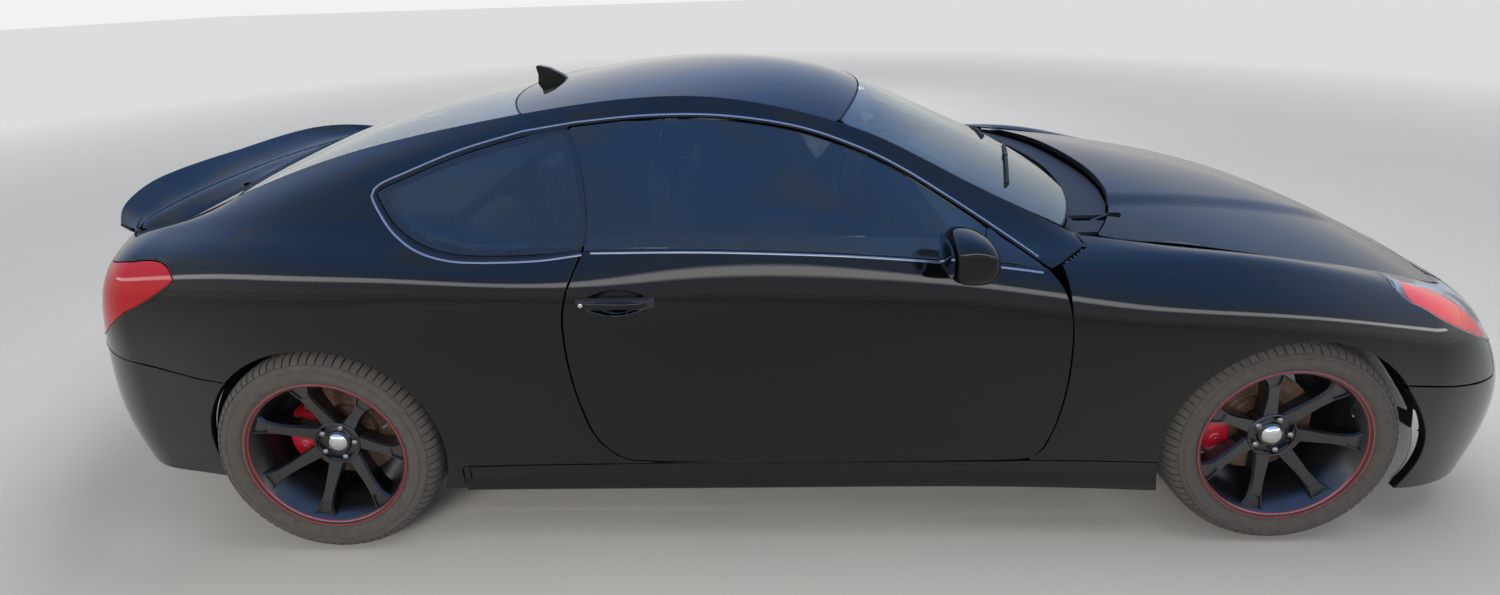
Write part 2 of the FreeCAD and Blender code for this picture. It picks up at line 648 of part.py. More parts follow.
def end_shell(wall, s_values, zone, rows):
    """Skin across the nose or tail; the first station lies on the centre plane."""
    grids = []
    for depth in (0.0, wall):
        right = skin_grid(s_values, zone, lambda s: depth, rows)
        right[0] = [V(p.x, 0, p.z) for p in right[0]]
        left = [[V(p.x, -p.y, p.z) for p in line] for line in right[1:]]
        grids.append(list(reversed(left)) + right)
    return solid_between(grids[0], grids[1])


INTAKE = [(-575, 455), (-520, 262), (-480, 232), (480, 232), (520, 262), (575, 455), (540, 492), (-540, 492)]
FOG_RECESS = [(-795, 420), (-770, 318), (-700, 296), (-630, 300), (-640, 360), (-690, 415)]
GRILLE_X = (2150, 2172)
SLAT_PITCH = 31.0


def make_front_bumper():
    stations = spread(3.0, 2.0, 9) + [1.975, 1.95]
    shell = nose_shell(BUMPER_WALL, stations, 12)
    lower = shell.common(half_space_below(BUMPER_FRONT_TOP, 50, -1300, 1300))
    middle = shell.common(box((2100, 2500), (-770, 770), (50, 760)))
    front_arch = arch(FRONT_AXLE_X, FRONT_TYRE_R, ARCH_R_FRONT)
    lamp = prism_y(grown(HEAD_LAMP, FIXED_GAP), -1300, -300)
    fog = prism_x(FOG_RECESS, 1900, 2500)
    return carved(lower.fuse(middle), [
        lamp, mirrored(lamp), front_arch, mirrored(front_arch),
        prism_x(INTAKE, 1900, 2500), fog, mirrored(fog),
        prism_z(hood_outline(-LID_GAP), 400, 1600)])


def make_grille():
    """Slatted lower grille in its frame, and a round lamp on a plate in each corner recess."""
    rim = [(y * 1.03, 362 + (z - 362) * 1.08) for y, z in INTAKE]
    frame = prism_x(rim, *GRILLE_X).cut(prism_x(INTAKE, 2000, 2300))
    window = prism_x(INTAKE, *GRILLE_X)
    slats = [box((GRILLE_X[0] + 3, GRILLE_X[1]), (-600, 600), (z, z + 8)) for z in spread(252, 469, 8)]
    posts = [box(GRILLE_X, (y - 6, y + 6), (225, 500)) for y in (-288, 0, 288)]
    mesh = fused(slats + posts).common(window)
    plate = prism_x([(y, z) for y, z in FOG_RECESS], 2030, 2038)
    lamp = Part.makeCylinder(36, 22, V(2036, -712, 360), V(1, 0, 0))
    corner = fused([plate, lamp])
    return Part.makeCompound([fused([frame, mesh]), corner, mirrored(corner)])


def make_rear_bumper():
    stations = spread(0.0, 1.0, 10) + [1.02, 1.04, 1.06, 1.08]
    shell = tail_shell(BUMPER_WALL, stations, 12)
    rear_arch = arch(REAR_AXLE_X, REAR_TYRE_R, ARCH_R_REAR)
    tips = [Part.makeCylinder(TIP_R + 10, 400, V(-2400, y, TIP_Z), V(1, 0, 0)) for y in (-TIP_Y, TIP_Y)]
    tips += [box((-2400, -2000), (y - TIP_R - 10, y + TIP_R + 10), (150, TIP_Z)) for y in (-TIP_Y, TIP_Y)]
    return carved(shell.common(half_space_below(BUMPER_REAR_TOP, 50, -1300, 1300)),
                  [rear_arch, mirrored(rear_arch)] + tips)


TIP_R = 42.0
TIP_Y = 430.0
TIP_Z = 282.0


def make_head_lamps():
    stations = spread(station(1680), 2.0, 4) + spread(2.0, 2.85, 6)[1:]
    lamp = largest(skin_wall(stations, "front", HEAD_LAMP_WALL, 10).common(prism_y(HEAD_LAMP, -1300, -560)))
    return both_sides(carved(lamp, [prism_z(hood_outline(-LID_GAP), 400, 1600)]))


def make_tail_lamps():
    stations = spread(0.2, 1.0, 7) + spread(1.0, 1.06, 3)[1:]
    lamp = skin_wall(stations, "cabin", 25, 10).common(prism_y(TAIL_LAMP, -1300, -TAIL_LAMP_INNER_Y))
    return both_sides(largest(lamp))


def make_sills():
    sill = skin_wall(spread(station(-980), station(1090), 9), "cabin", 110, 10)
    sill = sill.common(box((-935, 1062), (-1300, -300), (100, 277)))
    return both_sides(sill)


# Running gear
def revolved_y(profile):
    """Ring about the Y axis from a profile of (radius, y) points."""
    wire = Part.makePolygon([V(r, w, 0) for r, w in profile + profile[:1]])
    return Part.Face(wire).revolve(V(0, 0, 0), V(0, 1, 0), 360)


def make_tyre(radius, width):
    half = width / 2
    profile = [(232, -half + 22), (250, -half + 8), (285, -half), (radius - 26, -half + 5), (radius - 8, -half + 17),
               (radius, -half + 34), (radius, half - 34), (radius - 8, half - 17), (radius - 26, half - 5),
               (285, half), (250, half - 8), (232, half - 22), (229.5, half - 26), (229.5, -half + 26)]
    return revolved_y(profile)


def make_rim(width):
    """Barrel, seven spokes and hub; outboard is -Y."""
    half = width / 2
    barrel = revolved_y([(229, -half + 22), (241, -half + 13), (241, -half + 8), (226, -half + 12), (215, -half + 40),
                         (206, 0), (206, half - 30), (222, half - 12), (238, half - 8), (238, half - 13), (229, half - 22),
                         (214, half - 32), (214, 10), (222, -half + 42)])
    hub = revolved_y([(31, -28), (74, -28), (84, -60), (70, -72), (48, -66), (40, -58), (31, -58)])
    spoke_profile = [(66, -36), (66, -68), (150, -78), (222, -half + 18), (222, -half + 44), (150, -58)]
    wire = Part.makePolygon([V(r, w, -26) for r, w in spoke_profile + spoke_profile[:1]])
    spoke = Part.Face(wire).extrude(V(0, 0, 52))
    taper = prism_y([(0, -40), (66, -32), (150, -22), (230, -27), (230, 27), (150, 22), (66, 32), (0, 40)], -300, 300)
    spoke = spoke.common(taper)
    spokes = []
    for index in range(7):
        copy = spoke.copy()
        copy.rotate(V(0, 0, 0), V(0, 1, 0), index * 360 / 7 + 90)
        spokes.append(copy)
    return fused([barrel, hub] + spokes)


def make_disc(radius):
    """Ventilated disc and its hat; outboard is -Y."""
    return revolved_y([(100, 20), (radius, 20), (radius, -8), (92, -8), (92, -22), (31, -22), (31, -14), (84, -14), (84, 0), (100, 0)])


def make_caliper(radius, clock):
    """Four-piston caliper over the disc's edge, centred at an angle about the axle."""
    outer = Part.makeCylinder(radius + 22, 94, V(0, -36, 0), V(0, 1, 0))
    inner = Part.makeCylinder(radius - 58, 94, V(0, -36, 0), V(0, 1, 0))
    ring = outer.cut(inner)
    slot = Part.makeCylinder(radius + 6, 42, V(0, -15, 0), V(0, 1, 0))
    ring = ring.cut(slot)
    wedge = prism_y([(0, 0), (300, -175), (300, 175)], -200, 200)
    caliper = ring.common(wedge)
    caliper.rotate(V(0, 0, 0), V(0, 1, 0), clock)
    return caliper


def make_knuckle():
    """Upright with its wheel spindle and ball-joint socket, at the wheel centre; outboard is -Y."""
    spindle = Part.makeCylinder(30, 100, V(0, -50, 0), V(0, 1, 0))
    flange = Part.makeCylinder(72, 22, V(0, 28, 0), V(0, 1, 0))
    upright_plate = prism_x([(42, -110), (70, -118), (70, 150), (50, 150), (42, 80)], -45, 45)
    arm = box((0, 140), (46, 66), (-60, -30))
    socket = upright((0, 60), 19, (-120, -70))
    return fused([spindle, flange, upright_plate, arm, socket]).cut(upright((0, 60), BALL_STUD_R + 0.4, (-121, -85)))


BALL_STUD_R = 9.0


def wheel_set(shape, x, y, z):
    """Right-hand piece put at a wheel centre, and its mirror image."""
    right = shape.translated(V(x, -y, z))
    return right, mirrored(right)


# Structure, engine and cabin
def make_floor():
    """Floor with its tunnel, firewall, kick-up, luggage tub and four jacking pads."""
    floor = box((-1000, 1000), (-765, 765), (150, 180)).cut(box((-1010, 990), (-130, 130), (100, 310)))
    tunnel = box((-1000, 985), (-150, 150), (178, 330)).cut(box((-1010, 990), (-130, 130), (100, 310)))
    firewall = box((985, 1000), (-640, 640), (170, 840))
    kick_up = box((-1000, -985), (-550, 550), (178, BOOT_FLOOR)).cut(box((-1010, 990), (-130, 130), (100, 310)))
    boot = box((-2180, -985), (-500, 500), (BOOT_FLOOR - 15, BOOT_FLOOR))
    walls = [box((-2180, -1140), (y - 6, y + 6), (BOOT_FLOOR - 5, 800)) for y in (-494, 494)]
    pads = [box((x - 40, x + 40), (y - 30, y + 30), (138, 152)) for x in (-780, 780) for y in (-715, 715)]
    return fused([floor, tunnel, firewall, kick_up, boot] + walls + pads)


BOOT_FLOOR = 455.0


def make_front_frame():
    rails = [box((1000, 2100), (y - 35, y + 35), (330, 430)) for y in (-430, 430)]
    cross = box((1380, 1540), (-430, 430), (190, 260))
    posts = [box((1400, 1500), (y - 30, y + 30), (190, 400)) for y in (-430, 430)]
    beam = box((2060, 2120), (-600, 600), (380, 480))
    arms = []
    for y in (-1, 1):
        arms.append(rod((FRONT_AXLE_X, y * 430, 225), (FRONT_AXLE_X, y * 742, 188), 14))
        arms.append(upright((FRONT_AXLE_X, y * 740), BALL_STUD_R, (180, 240)))
    return fused(rails + [cross, beam] + posts + arms)


def make_rear_frame():
    cradle = box((-1480, -1180), (-380, 380), (220, 290))
    diff = box((-1450, -1260), (-110, 110), (250, 420))
    shafts = [rod((REAR_AXLE_X, y * 100, REAR_TYRE_R), (REAR_AXLE_X, y * (REAR_TRACK_HALF - 40), REAR_TYRE_R), 17) for y in (-1, 1)]
    arms = [rod((REAR_AXLE_X + 60, y * 370, 240), (REAR_AXLE_X + 30, y * (REAR_TRACK_HALF - 90), 225), 16) for y in (-1, 1)]
    uprights = []
    for y in (-1, 1):
        plate = box((REAR_AXLE_X - 50, REAR_AXLE_X + 50), (y * 745 - 14, y * 745 + 14), (210, 470))
        spindle = rod((REAR_AXLE_X, y * 740, REAR_TYRE_R), (REAR_AXLE_X, y * (REAR_TRACK_HALF + 50), REAR_TYRE_R), 30)
        uprights += [plate, spindle]
    mounts = [box((-1200, -1150), (y * 330 - 25, y * 330 + 25), (220, BOOT_FLOOR - 15)) for y in (-1, 1)]
    return fused([cradle, diff] + shafts + arms + uprights + mounts)


SEAT_Y = 398.0


def make_seat(y):
    half = 232
    cushion = prism_y([(-310, 250), (230, 250), (250, 380), (200, 420), (-250, 370), (-310, 360)], y - half, y + half)
    back = prism_y([(-300, 300), (-190, 330), (-330, 860), (-400, 880), (-440, 850)], y - half + 6, y + half - 6)
    head = prism_y([(-350, 880), (-400, 900), (-420, 1080), (-380, 1085), (-340, 1060)], y - 130, y + 130)
    neck = prism_y([(-395, 850), (-355, 850), (-365, 905), (-398, 905)], y - 60, y + 60)
    base = box((-250, 180), (y - 190, y + 190), (180, 255))
    return fused([cushion, back, neck, head, base])


def make_rear_seat():
    """Two hollowed places with one back across them."""
    cushions = [prism_y([(-955, 180), (-560, 180), (-540, 425), (-600, 450), (-925, 400)], y - 180, y + 180)
                for y in (-340, 340)]
    back = prism_y([(-945, 385), (-855, 400), (-1020, 880), (-1095, 895)], -520, 520)
    return fused(cushions + [back])


def make_rear_shelf():
    """Shelf behind the rear seat, with the brackets and pins that the trunk lid hangs on."""
    shelf = box((-1765, -1110), (-470, 470), (900, 915))
    parts = [shelf]
    for y in (-1, 1):
        parts.append(prism_y([(-1765, 905), (-1700, 905), (-1742, 1070), (-1768, 1070)], y * 445 - 5, y * 445 + 5))
        parts.append(cylinder_y(TRUNK_HINGE[0], min(y * 405, y * 445), TRUNK_HINGE[1], 4.6, 40))
    for x in (-1740, -1140):
        parts.append(box((x - 12, x + 12), (-470, -455), (BOOT_FLOOR, 905)))
        parts.append(box((x - 12, x + 12), (455, 470), (BOOT_FLOOR, 905)))
    return fused(parts)


def make_dashboard():
    """Panel reaching forward over the firewall to the screen, with the centre console."""
    panel = prism_y([(545, 720), (560, 620), (640, 560), (900, 600), (960, 700), (966, 858), (1075, 870), (1075, 886),
                     (700, 893), (600, 868), (562, 800)], -600, 600)
    reach = [(x - 25, y) for x, y in GLASS_BASE] + [(300, 680), (300, -680)]
    panel = panel.common(prism_z(reach, 400, 1000))
    console = prism_y([(-250, 330), (700, 330), (700, 640), (560, 640), (450, 500), (-250, 500)], -110, 110)
    binnacle = prism_y([(556, 850), (700, 885), (690, 905), (600, 918), (548, 900)], 240, 500)
    return fused([panel, console, binnacle])


def make_steering_wheel():
    ring = Part.makeTorus(182, 14, V(0, 0, 0), V(0, 0, 1))
    hub = Part.makeCylinder(62, 40, V(0, 0, -30), V(0, 0, 1))
    bars = [box((-182, 182), (-16, 16), (-14, 2)), box((-16, 16), (-182, 0), (-14, 2))]
    wheel = fused([ring, hub] + bars)
    wheel.rotate(V(0, 0, 0), V(0, 0, 1), 90)
    wheel.rotate(V(0, 0, 0), V(0, 1, 0), -65)
    return wheel.translated(V(*STEERING_WHEEL))


STEERING_WHEEL = (440.0, 370.0, 800.0)


def make_exhaust():
    """Pipe along the tunnel, under the rear cradle, to a cross box with two tips."""
    route = [(900, 0, 238), (-940, 0, 238), (-1120, 0, 182), (-1540, 0, 182), (-1800, 0, 270)]
    pipes = [rod(a, b, 28) for a, b in zip(route, route[1:])]
    bends = [Part.makeSphere(28, V(*point)) for point in route[1:-1]]
    silencer = box((-2060, -1790), (-480, 480), (232, 322))
    tips = [rod((-2050, y, 277), (-2285, y, TIP_Z), TIP_R) for y in (-TIP_Y, TIP_Y)]
    return fused(pipes + bends + [silencer] + tips)


def make_mirror():
    """Right-hand door mirror: a rounded housing that stands on the door by a short foot."""
    sections = []
    for y, scale in ((-868, 0.80), (-900, 0.96), (-950, 1.0), (-990, 0.90), (-1012, 0.62)):
        points = [V(522 + scale * dx, y, 965 + scale * dz) for dx, dz in MIRROR_OUTLINE]
        sections.append(Part.makePolygon(points + points[:1]))
    housing = Part.makeLoft(sections, True, True)
    foot = prism_x([(-940, 918), (-930, 896), (-800, 850), (-800, 900), (-862, 940), (-900, 950)], 510, 590)
    mirror = fused([housing, foot])
    inside = skin_wall(spread(station(360), station(740), 5), "cabin", 260, 10, depth=-1.0)
    return carved(mirror, [inside])


MIRROR_OUTLINE = [(-62, -40), (-54, -58), (30, -62), (58, -40), (64, 4), (44, 44), (0, 62), (-44, 58), (-62, 36)]


def make_liners():
    """Plastic wheelhouse liners above and behind each wheel."""
    shells = []
    for x, z, radius, y_in, y_out in ((FRONT_AXLE_X, FRONT_TYRE_R, 392, 505, 862),
                                         (REAR_AXLE_X, REAR_TYRE_R, 368, 560, 850)):
        ring = Part.makeCylinder(radius + 6, y_out - y_in, V(x, -y_out, z), V(0, 1, 0))
        ring = ring.cut(Part.makeCylinder(radius, y_out - y_in, V(x, -y_out, z), V(0, 1, 0)))
        ring = ring.common(box((x - 600, x + 600), (-1000, 0), (z + 20, z + 600)))
        shells += [ring, mirrored(ring)]
    return Part.makeCompound(shells)


def save(node, shape):
    shape.exportStep(os.path.join("parts", node + ".step"))


def main():
    os.makedirs("parts", exist_ok=True)
    pieces = {}
    for name, make in (("door", make_door), ("door_glass", make_door_glass), ("body_side", make_body_side),
                       ("fender", make_fender), ("mirror", make_mirror)):
        right = make()
        pieces[name + "_right"] = right
        pieces[name + "_left"] = mirrored(right)
    pieces["quarter_glass"] = both_sides(make_quarter_glass())
    pieces["sills"] = make_sills()
    pieces["roof_panel"] = make_roof()
    pieces["windshield"] = make_windshield()
    pieces["rear_window"] = make_rear_window()
    pieces["cowl"] = make_cowl()
    pieces["hood"] = make_hood()
    pieces["hinge_pillars"] = make_hinge_pillars()
    pieces["grille"] = make_grille()
    pieces["rear_shelf"] = make_rear_shelf()
    pieces["trunk_lid"] = make_trunk_lid()
    pieces["front_bumper"] = make_front_bumper()
    pieces["rear_bumper"] = make_rear_bumper()
    pieces["head_lamps"] = make_head_lamps()
    pieces["tail_lamps"] = make_tail_lamps()
    pieces["floor_pan"] = make_floor()
    pieces["front_frame"] = make_front_frame()
    pieces["rear_frame"] = make_rear_frame()
    pieces["engine_block"] = box((1090, 1700), (-280, 280), (300, 790))
    pieces["front_seats"] = Part.makeCompound([make_seat(-SEAT_Y), make_seat(SEAT_Y)])
    pieces["rear_seat"] = make_rear_seat()
    pieces["dashboard"] = make_dashboard()
    pieces["steering_wheel"] = make_steering_wheel()
    pieces["exhaust"] = make_exhaust()
    pieces["wheel_liners"] = make_liners()
    axles = (("front", FRONT_AXLE_X, FRONT_TRACK_HALF, FRONT_TYRE_R, FRONT_TYRE_W, 165),
             ("rear", REAR_AXLE_X, REAR_TRACK_HALF, REAR_TYRE_R, REAR_TYRE_W, 160))
    for end, x, y, z, width, disc in axles:
        for name, shape in (("tyre", make_tyre(z, width)), ("rim", make_rim(width)), ("brake_disc", make_disc(disc))):
            right, left = wheel_set(shape, x, y, z)
            pieces["%s_%s_right" % (name, end)] = right
            pieces["%s_%s_left" % (name, end)] = left
    right, left = wheel_set(make_knuckle(), FRONT_AXLE_X, FRONT_TRACK_HALF, FRONT_TYRE_R)
    pieces["knuckle_right"], pieces["knuckle_left"] = right, left
    right, left = wheel_set(make_caliper(165, 180), FRONT_AXLE_X, FRONT_TRACK_HALF, FRONT_TYRE_R)
    pieces["front_caliper_right"], pieces["front_caliper_left"] = right, left
    right, left = wheel_set(make_caliper(160, 180), REAR_AXLE_X, REAR_TRACK_HALF, REAR_TYRE_R)
    pieces["rear_calipers"] = Part.makeCompound([right, left])
    for node, shape in pieces.items():
        box_now = shape.BoundBox
        print(node, shape.isValid(), len(shape.Solids), round(shape.Volume / 1e6, 2),
              [round(v) for v in (box_now.XMin, box_now.XMax, box_now.YMin, box_now.YMax, box_now.ZMin, box_now.ZMax)])
        save(node, shape)


if __name__ == "__main__":
    main()
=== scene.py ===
# Black two-door fastback coupe on a pale studio floor, seen from its right-hand side.
# Panels are laid out in millimetres on the car's own surfaces and become metres when a mesh is made.
import json
import math

import bpy
import numpy as np
from mathutils import Matrix, Vector
from mathutils.geometry import delaunay_2d_cdt
from mathutils.kdtree import KDTree

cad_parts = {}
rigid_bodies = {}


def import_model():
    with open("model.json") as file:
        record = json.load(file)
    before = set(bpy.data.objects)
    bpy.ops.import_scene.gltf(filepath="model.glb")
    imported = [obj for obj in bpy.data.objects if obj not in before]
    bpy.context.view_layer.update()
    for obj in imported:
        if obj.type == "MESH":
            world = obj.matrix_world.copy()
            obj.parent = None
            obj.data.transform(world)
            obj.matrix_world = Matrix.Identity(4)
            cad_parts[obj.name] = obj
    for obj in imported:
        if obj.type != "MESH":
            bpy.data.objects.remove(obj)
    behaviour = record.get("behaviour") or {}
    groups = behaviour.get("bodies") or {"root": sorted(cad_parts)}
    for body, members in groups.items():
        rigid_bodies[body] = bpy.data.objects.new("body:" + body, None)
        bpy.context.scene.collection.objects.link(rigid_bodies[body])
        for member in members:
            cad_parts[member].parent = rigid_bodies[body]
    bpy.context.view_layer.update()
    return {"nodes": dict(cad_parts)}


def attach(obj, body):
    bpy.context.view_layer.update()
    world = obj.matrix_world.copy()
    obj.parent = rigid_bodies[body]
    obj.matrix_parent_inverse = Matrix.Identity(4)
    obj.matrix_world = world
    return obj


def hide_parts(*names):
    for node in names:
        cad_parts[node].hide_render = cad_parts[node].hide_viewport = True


for leftover in list(bpy.data.objects):
    bpy.data.objects.remove(leftover)
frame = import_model()
nodes = frame["nodes"]
print("frame loaded:", len(nodes), "nodes")


# The car's surfaces
bodyShape = {
    "frontAxle": (1465.0, 330.0), "rearAxle": (-1355.0, 339.0),
    "frontArch": 356.0, "rearArch": 362.0,
    "noseX": 1850.0, "tailX": -1900.0, "cowlX": 940.0,
    "shutGap": 8.5,          # between the edges of two panels before each is rounded over
    "rows": ["sill", "rocker", "waist", "shoulder", "belt", "crest", "rail"],
    # feature lines of the side: (x, half width, height)
    "sill": [(-1900, 858, 240), (-1355, 895, 205), (-900, 888, 190), (0, 885, 188), (900, 886, 180),
             (1465, 894, 165), (1850, 872, 150)],
    "rocker": [(-1900, 880, 400), (-1355, 918, 360), (-900, 905, 345), (0, 900, 340), (900, 903, 340),
               (1465, 918, 345), (1850, 896, 335)],
    "waist": [(-1900, 888, 640), (-1355, 932, 640), (-900, 914, 620), (0, 902, 610), (900, 909, 610),
              (1465, 932, 610), (1850, 908, 545)],
    "shoulder": [(-1900, 845, 930), (-1600, 868, 947), (-1355, 880, 943), (-1100, 884, 922),
                 (-845, 886, 883), (-400, 886, 828), (200, 893, 775), (900, 895, 758),
                 (1465, 905, 752), (1850, 880, 672)],
    "belt": [(-1900, 745, 982), (-1600, 786, 1006), (-1355, 800, 1004), (-900, 822, 958),
             (-500, 832, 940), (0, 840, 930), (500, 842, 890), (850, 842, 846), (1200, 835, 838),
             (1465, 835, 818), (1850, 818, 740)],
    "crest": [(-1900, 704, 994), (-1600, 715, 1056), (-1355, 705, 1110), (-1000, 655, 1190),
              (-600, 628, 1258), (-200, 608, 1268), (200, 628, 1195), (550, 690, 1010),
              (800, 750, 900), (1000, 762, 878), (1465, 778, 848), (1850, 762, 762)],
    # plan of the upper edge where the side meets hood, roof, rear window and deck
    "railPlan": [(-1900, 668), (-1700, 630), (-1355, 580), (-1000, 566), (-600, 560), (-200, 558),
                 (106, 572), (400, 604), (700, 650), (907, 680), (1050, 697), (1465, 712), (1850, 690)],
    # where each row crosses the centre line: (x, height, corner fullness)
    "nose": {"sill": (2250, 165, 0.28), "rocker": (2298, 320, 0.32), "waist": (2315, 480, 0.40),
             "shoulder": (2312, 585, 0.48), "belt": (2303, 640, 0.52), "crest": (2290, 662, 0.56),
             "rail": (2276, None, 0.60)},
    "tail": {"sill": (-2235, 262, 0.55), "rocker": (-2298, 405, 0.60), "waist": (-2315, 600, 0.68),
             "shoulder": (-2268, 868, 0.98), "belt": (-2260, 942, 0.78), "crest": (-2260, 958, 0.52),
             "rail": (-2268, None, 0.52)},
    "hoodCentre": [(900, 950), (1118, 946), (1400, 925), (1620, 892), (1900, 836), (2078, 784),
                   (2170, 748), (2285, 690)],
    "hoodFall": [(900, 56), (1371, 78), (1850, 86), (2285, 112)],
    # raised middle of the hood: half widths at its two ends, where it starts, and where it runs out
    "domeHeight": 11.0, "domeFlank": 75.0, "domeEdge": (520.0, 360.0), "domeStart": 1100.0,
    "domeLength": 1100.0, "domeEnd": 2240.0, "domeFade": 260.0,
    # heights on the centre line, and the fall from there to each half width
    "hoodHalf": 700.0, "roofHalf": 560.0, "deckHalf": 680.0, "deckStart": -1700.0, "deckBlend": 200.0,
    "roofCentre": [(-1820, 1092), (-1658, 1148), (-1440, 1212), (-1240, 1254), (-1000, 1294),
                   (-800, 1328), (-600, 1358), (-400, 1377), (-200, 1385), (0, 1379), (200, 1350),
                   (350, 1306), (600, 1190), (907, 1040), (1120, 936)],
    "roofFall": [(-1820, 48), (-1240, 38), (-1000, 32), (-600, 36), (-200, 50), (106, 84), (350, 96),
                 (600, 96), (907, 84), (1120, 80)],
    "deckCentre": [(-2315, 972), (-2200, 984), (-2100, 998), (-2000, 1020), (-1900, 1052),
                   (-1780, 1094)],
    "deckFall": [(-2315, 40), (-2125, 46), (-1780, 72)],
}


def naturalSpline(knots):
    # smooth curve through (place, value) knots, straight beyond both ends
    xs = np.array([k[0] for k in knots], float)
    values = np.array([k[1] for k in knots], float)
    h = np.diff(xs)
    count = len(xs)
    matrix, right = np.eye(count), np.zeros(count)
    for i in range(1, count - 1):
        matrix[i, i - 1:i + 2] = h[i - 1], 2 * (h[i - 1] + h[i]), h[i]
        right[i] = 6 * ((values[i + 1] - values[i]) / h[i] - (values[i] - values[i - 1]) / h[i - 1])
    bend = np.linalg.solve(matrix, right)

    def at(x):
        x = np.asarray(x, float)
        i = np.clip(np.searchsorted(xs, x) - 1, 0, count - 2)
        a, b = x - xs[i], xs[i + 1] - x
        inside = ((bend[i] * b ** 3 + bend[i + 1] * a ** 3) / (6 * h[i])
                  + (values[i] / h[i] - bend[i] * h[i] / 6) * b
                  + (values[i + 1] / h[i] - bend[i + 1] * h[i] / 6) * a)
        before = values[0] + (x - xs[0]) * ((values[1] - values[0]) / h[0] - h[0] * bend[1] / 6)
        after = values[-1] + (x - xs[-1]) * ((values[-1] - values[-2]) / h[-1] + h[-1] * bend[-2] / 6)
        return np.where(x < xs[0], before, np.where(x > xs[-1], after, inside))

    return at


def crowned(name):
    # height of a surface that is crowned across the car
    centreAt, fallAt = naturalSpline(bodyShape[name + "Centre"]), naturalSpline(bodyShape[name + "Fall"])
    return lambda x, y: centreAt(x) - fallAt(x) * (y / bodyShape[name + "Half"]) ** 2


def eased(share):
    share = np.clip(share, 0.0, 1.0)
    return share * share * (3 - 2 * share)


plainHoodZ, roofZ, deckZ = crowned("hood"), crowned("roof"), crowned("deck")
railY = naturalSpline(bodyShape["railPlan"])
lineY = {row: naturalSpline([(k[0], k[1]) for k in bodyShape[row]]) for row in bodyShape["rows"][:-1]}
lineZ = {row: naturalSpline([(k[0], k[2]) for k in bodyShape[row]]) for row in bodyShape["rows"][:-1]}


def hoodZ(x, y):
    rear, front = bodyShape["domeEdge"]
    edge = rear + (front - rear) * (x - bodyShape["domeStart"]) / bodyShape["domeLength"]
    rise = (eased((edge - np.abs(y)) / bodyShape["domeFlank"])
            * eased((bodyShape["domeEnd"] - x) / bodyShape["domeFade"]))
    return plainHoodZ(x, y) + bodyShape["domeHeight"] * rise


def quarterTop(x):
    # upper edge of the side: the roof's height, and behind the rear screen the deck's
    y = railY(x)
    share = eased((bodyShape["deckStart"] - x) / bodyShape["deckBlend"])
    return roofZ(x, y) * (1 - share) + deckZ(x, y) * share


def station(x):
    return 1 + (x - bodyShape["tailX"]) / (bodyShape["noseX"] - bodyShape["tailX"])


def rowPoints(row, s, zone):
    # stations 0 to 1 run round the tail, 1 to 2 along the side and 2 to 3 round the nose
    sideY = railY if row == "rail" else lineY[row]
    if row == "rail":
        sideZ = quarterTop if zone == "cabin" else (lambda x: hoodZ(x, railY(x)))
    else:
        sideZ = lineZ[row]
    x = bodyShape["tailX"] + (s - 1) * (bodyShape["noseX"] - bodyShape["tailX"])
    y, z = sideY(x), sideZ(x)
    for ends, start, turn, where in ((bodyShape["nose"], bodyShape["noseX"], s - 2, s > 2),
                                     (bodyShape["tail"], bodyShape["tailX"], 1 - s, s < 1)):
        endX, endZ, full = ends[row]
        angle = math.pi / 2 * (1 - np.clip(1 - turn, 0, 1) ** 1.5)
        reach = endX - start
        step = math.copysign(1.0, reach)
        endPointX = start + reach * np.sin(angle)
        fade = np.cos(angle) ** 2
        slopeY = (sideY(start) - sideY(start - step)) / step
        slopeZ = (sideZ(start) - sideZ(start - step)) / step
        endPointY = sideY(start) * np.maximum(np.cos(angle), 0) ** full + slopeY * (endPointX - start) * fade
        if row == "rail":
            endPointZ = (hoodZ if step > 0 else deckZ)(endPointX, endPointY)
        else:
            endPointZ = (sideZ(start) + (endZ - sideZ(start)) * np.sin(angle) ** 2
                         + slopeZ * (endPointX - start) * fade)
        x, y, z = (np.where(where, a, b) for a, b in ((endPointX, x), (endPointY, y), (endPointZ, z)))
    return np.stack([x, y, z], axis=-1)


# the side skin is read from a table; its flat coordinates are stations and rows times about their real length
skinGrid = {"stations": 720, "rows": 110, "lengthScale": 3750.0, "heightScale": 1100.0}


def skinTable(zone):
    # points of the right-hand side, from sill to rail at each station
    s = np.linspace(0, 3, skinGrid["stations"] + 1)
    t = np.linspace(0, 1, skinGrid["rows"] + 1)
    rows = np.stack([rowPoints(row, s, zone) for row in bodyShape["rows"]], axis=1)
    table = np.zeros((len(s), len(t), 3))
    for i, points in enumerate(rows):
        marks = np.concatenate([[0.0], np.cumsum(np.linalg.norm(np.diff(points, axis=0), axis=1) ** 0.7)])
        for k in range(3):
            table[i, :, k] = naturalSpline(list(zip(marks / marks[-1], points[:, k])))(t)
    table[:, :, 1] *= -1
    return table


def interpolated(table, i, j):
    # smooth bicubic reading of a table of points at fractional places
    padded = np.pad(table, ((1, 2), (1, 2), (0, 0)), mode="reflect", reflect_type="odd")
    wholeI = np.clip(np.floor(i).astype(int), 0, table.shape[0] - 2)
    wholeJ = np.clip(np.floor(j).astype(int), 0, table.shape[1] - 2)

    def weights(f):
        return np.stack([(-f + 2 * f ** 2 - f ** 3) / 2, (2 - 5 * f ** 2 + 3 * f ** 3) / 2,
                         (f + 4 * f ** 2 - 3 * f ** 3) / 2, (-f ** 2 + f ** 3) / 2])

    weightI, weightJ = weights(i - wholeI), weights(j - wholeJ)
    total = np.zeros((len(i), 3))
    for a in range(4):
        for b in range(4):
            total += (weightI[a] * weightJ[b])[:, None] * padded[wholeI + a, wholeJ + b]
    return total


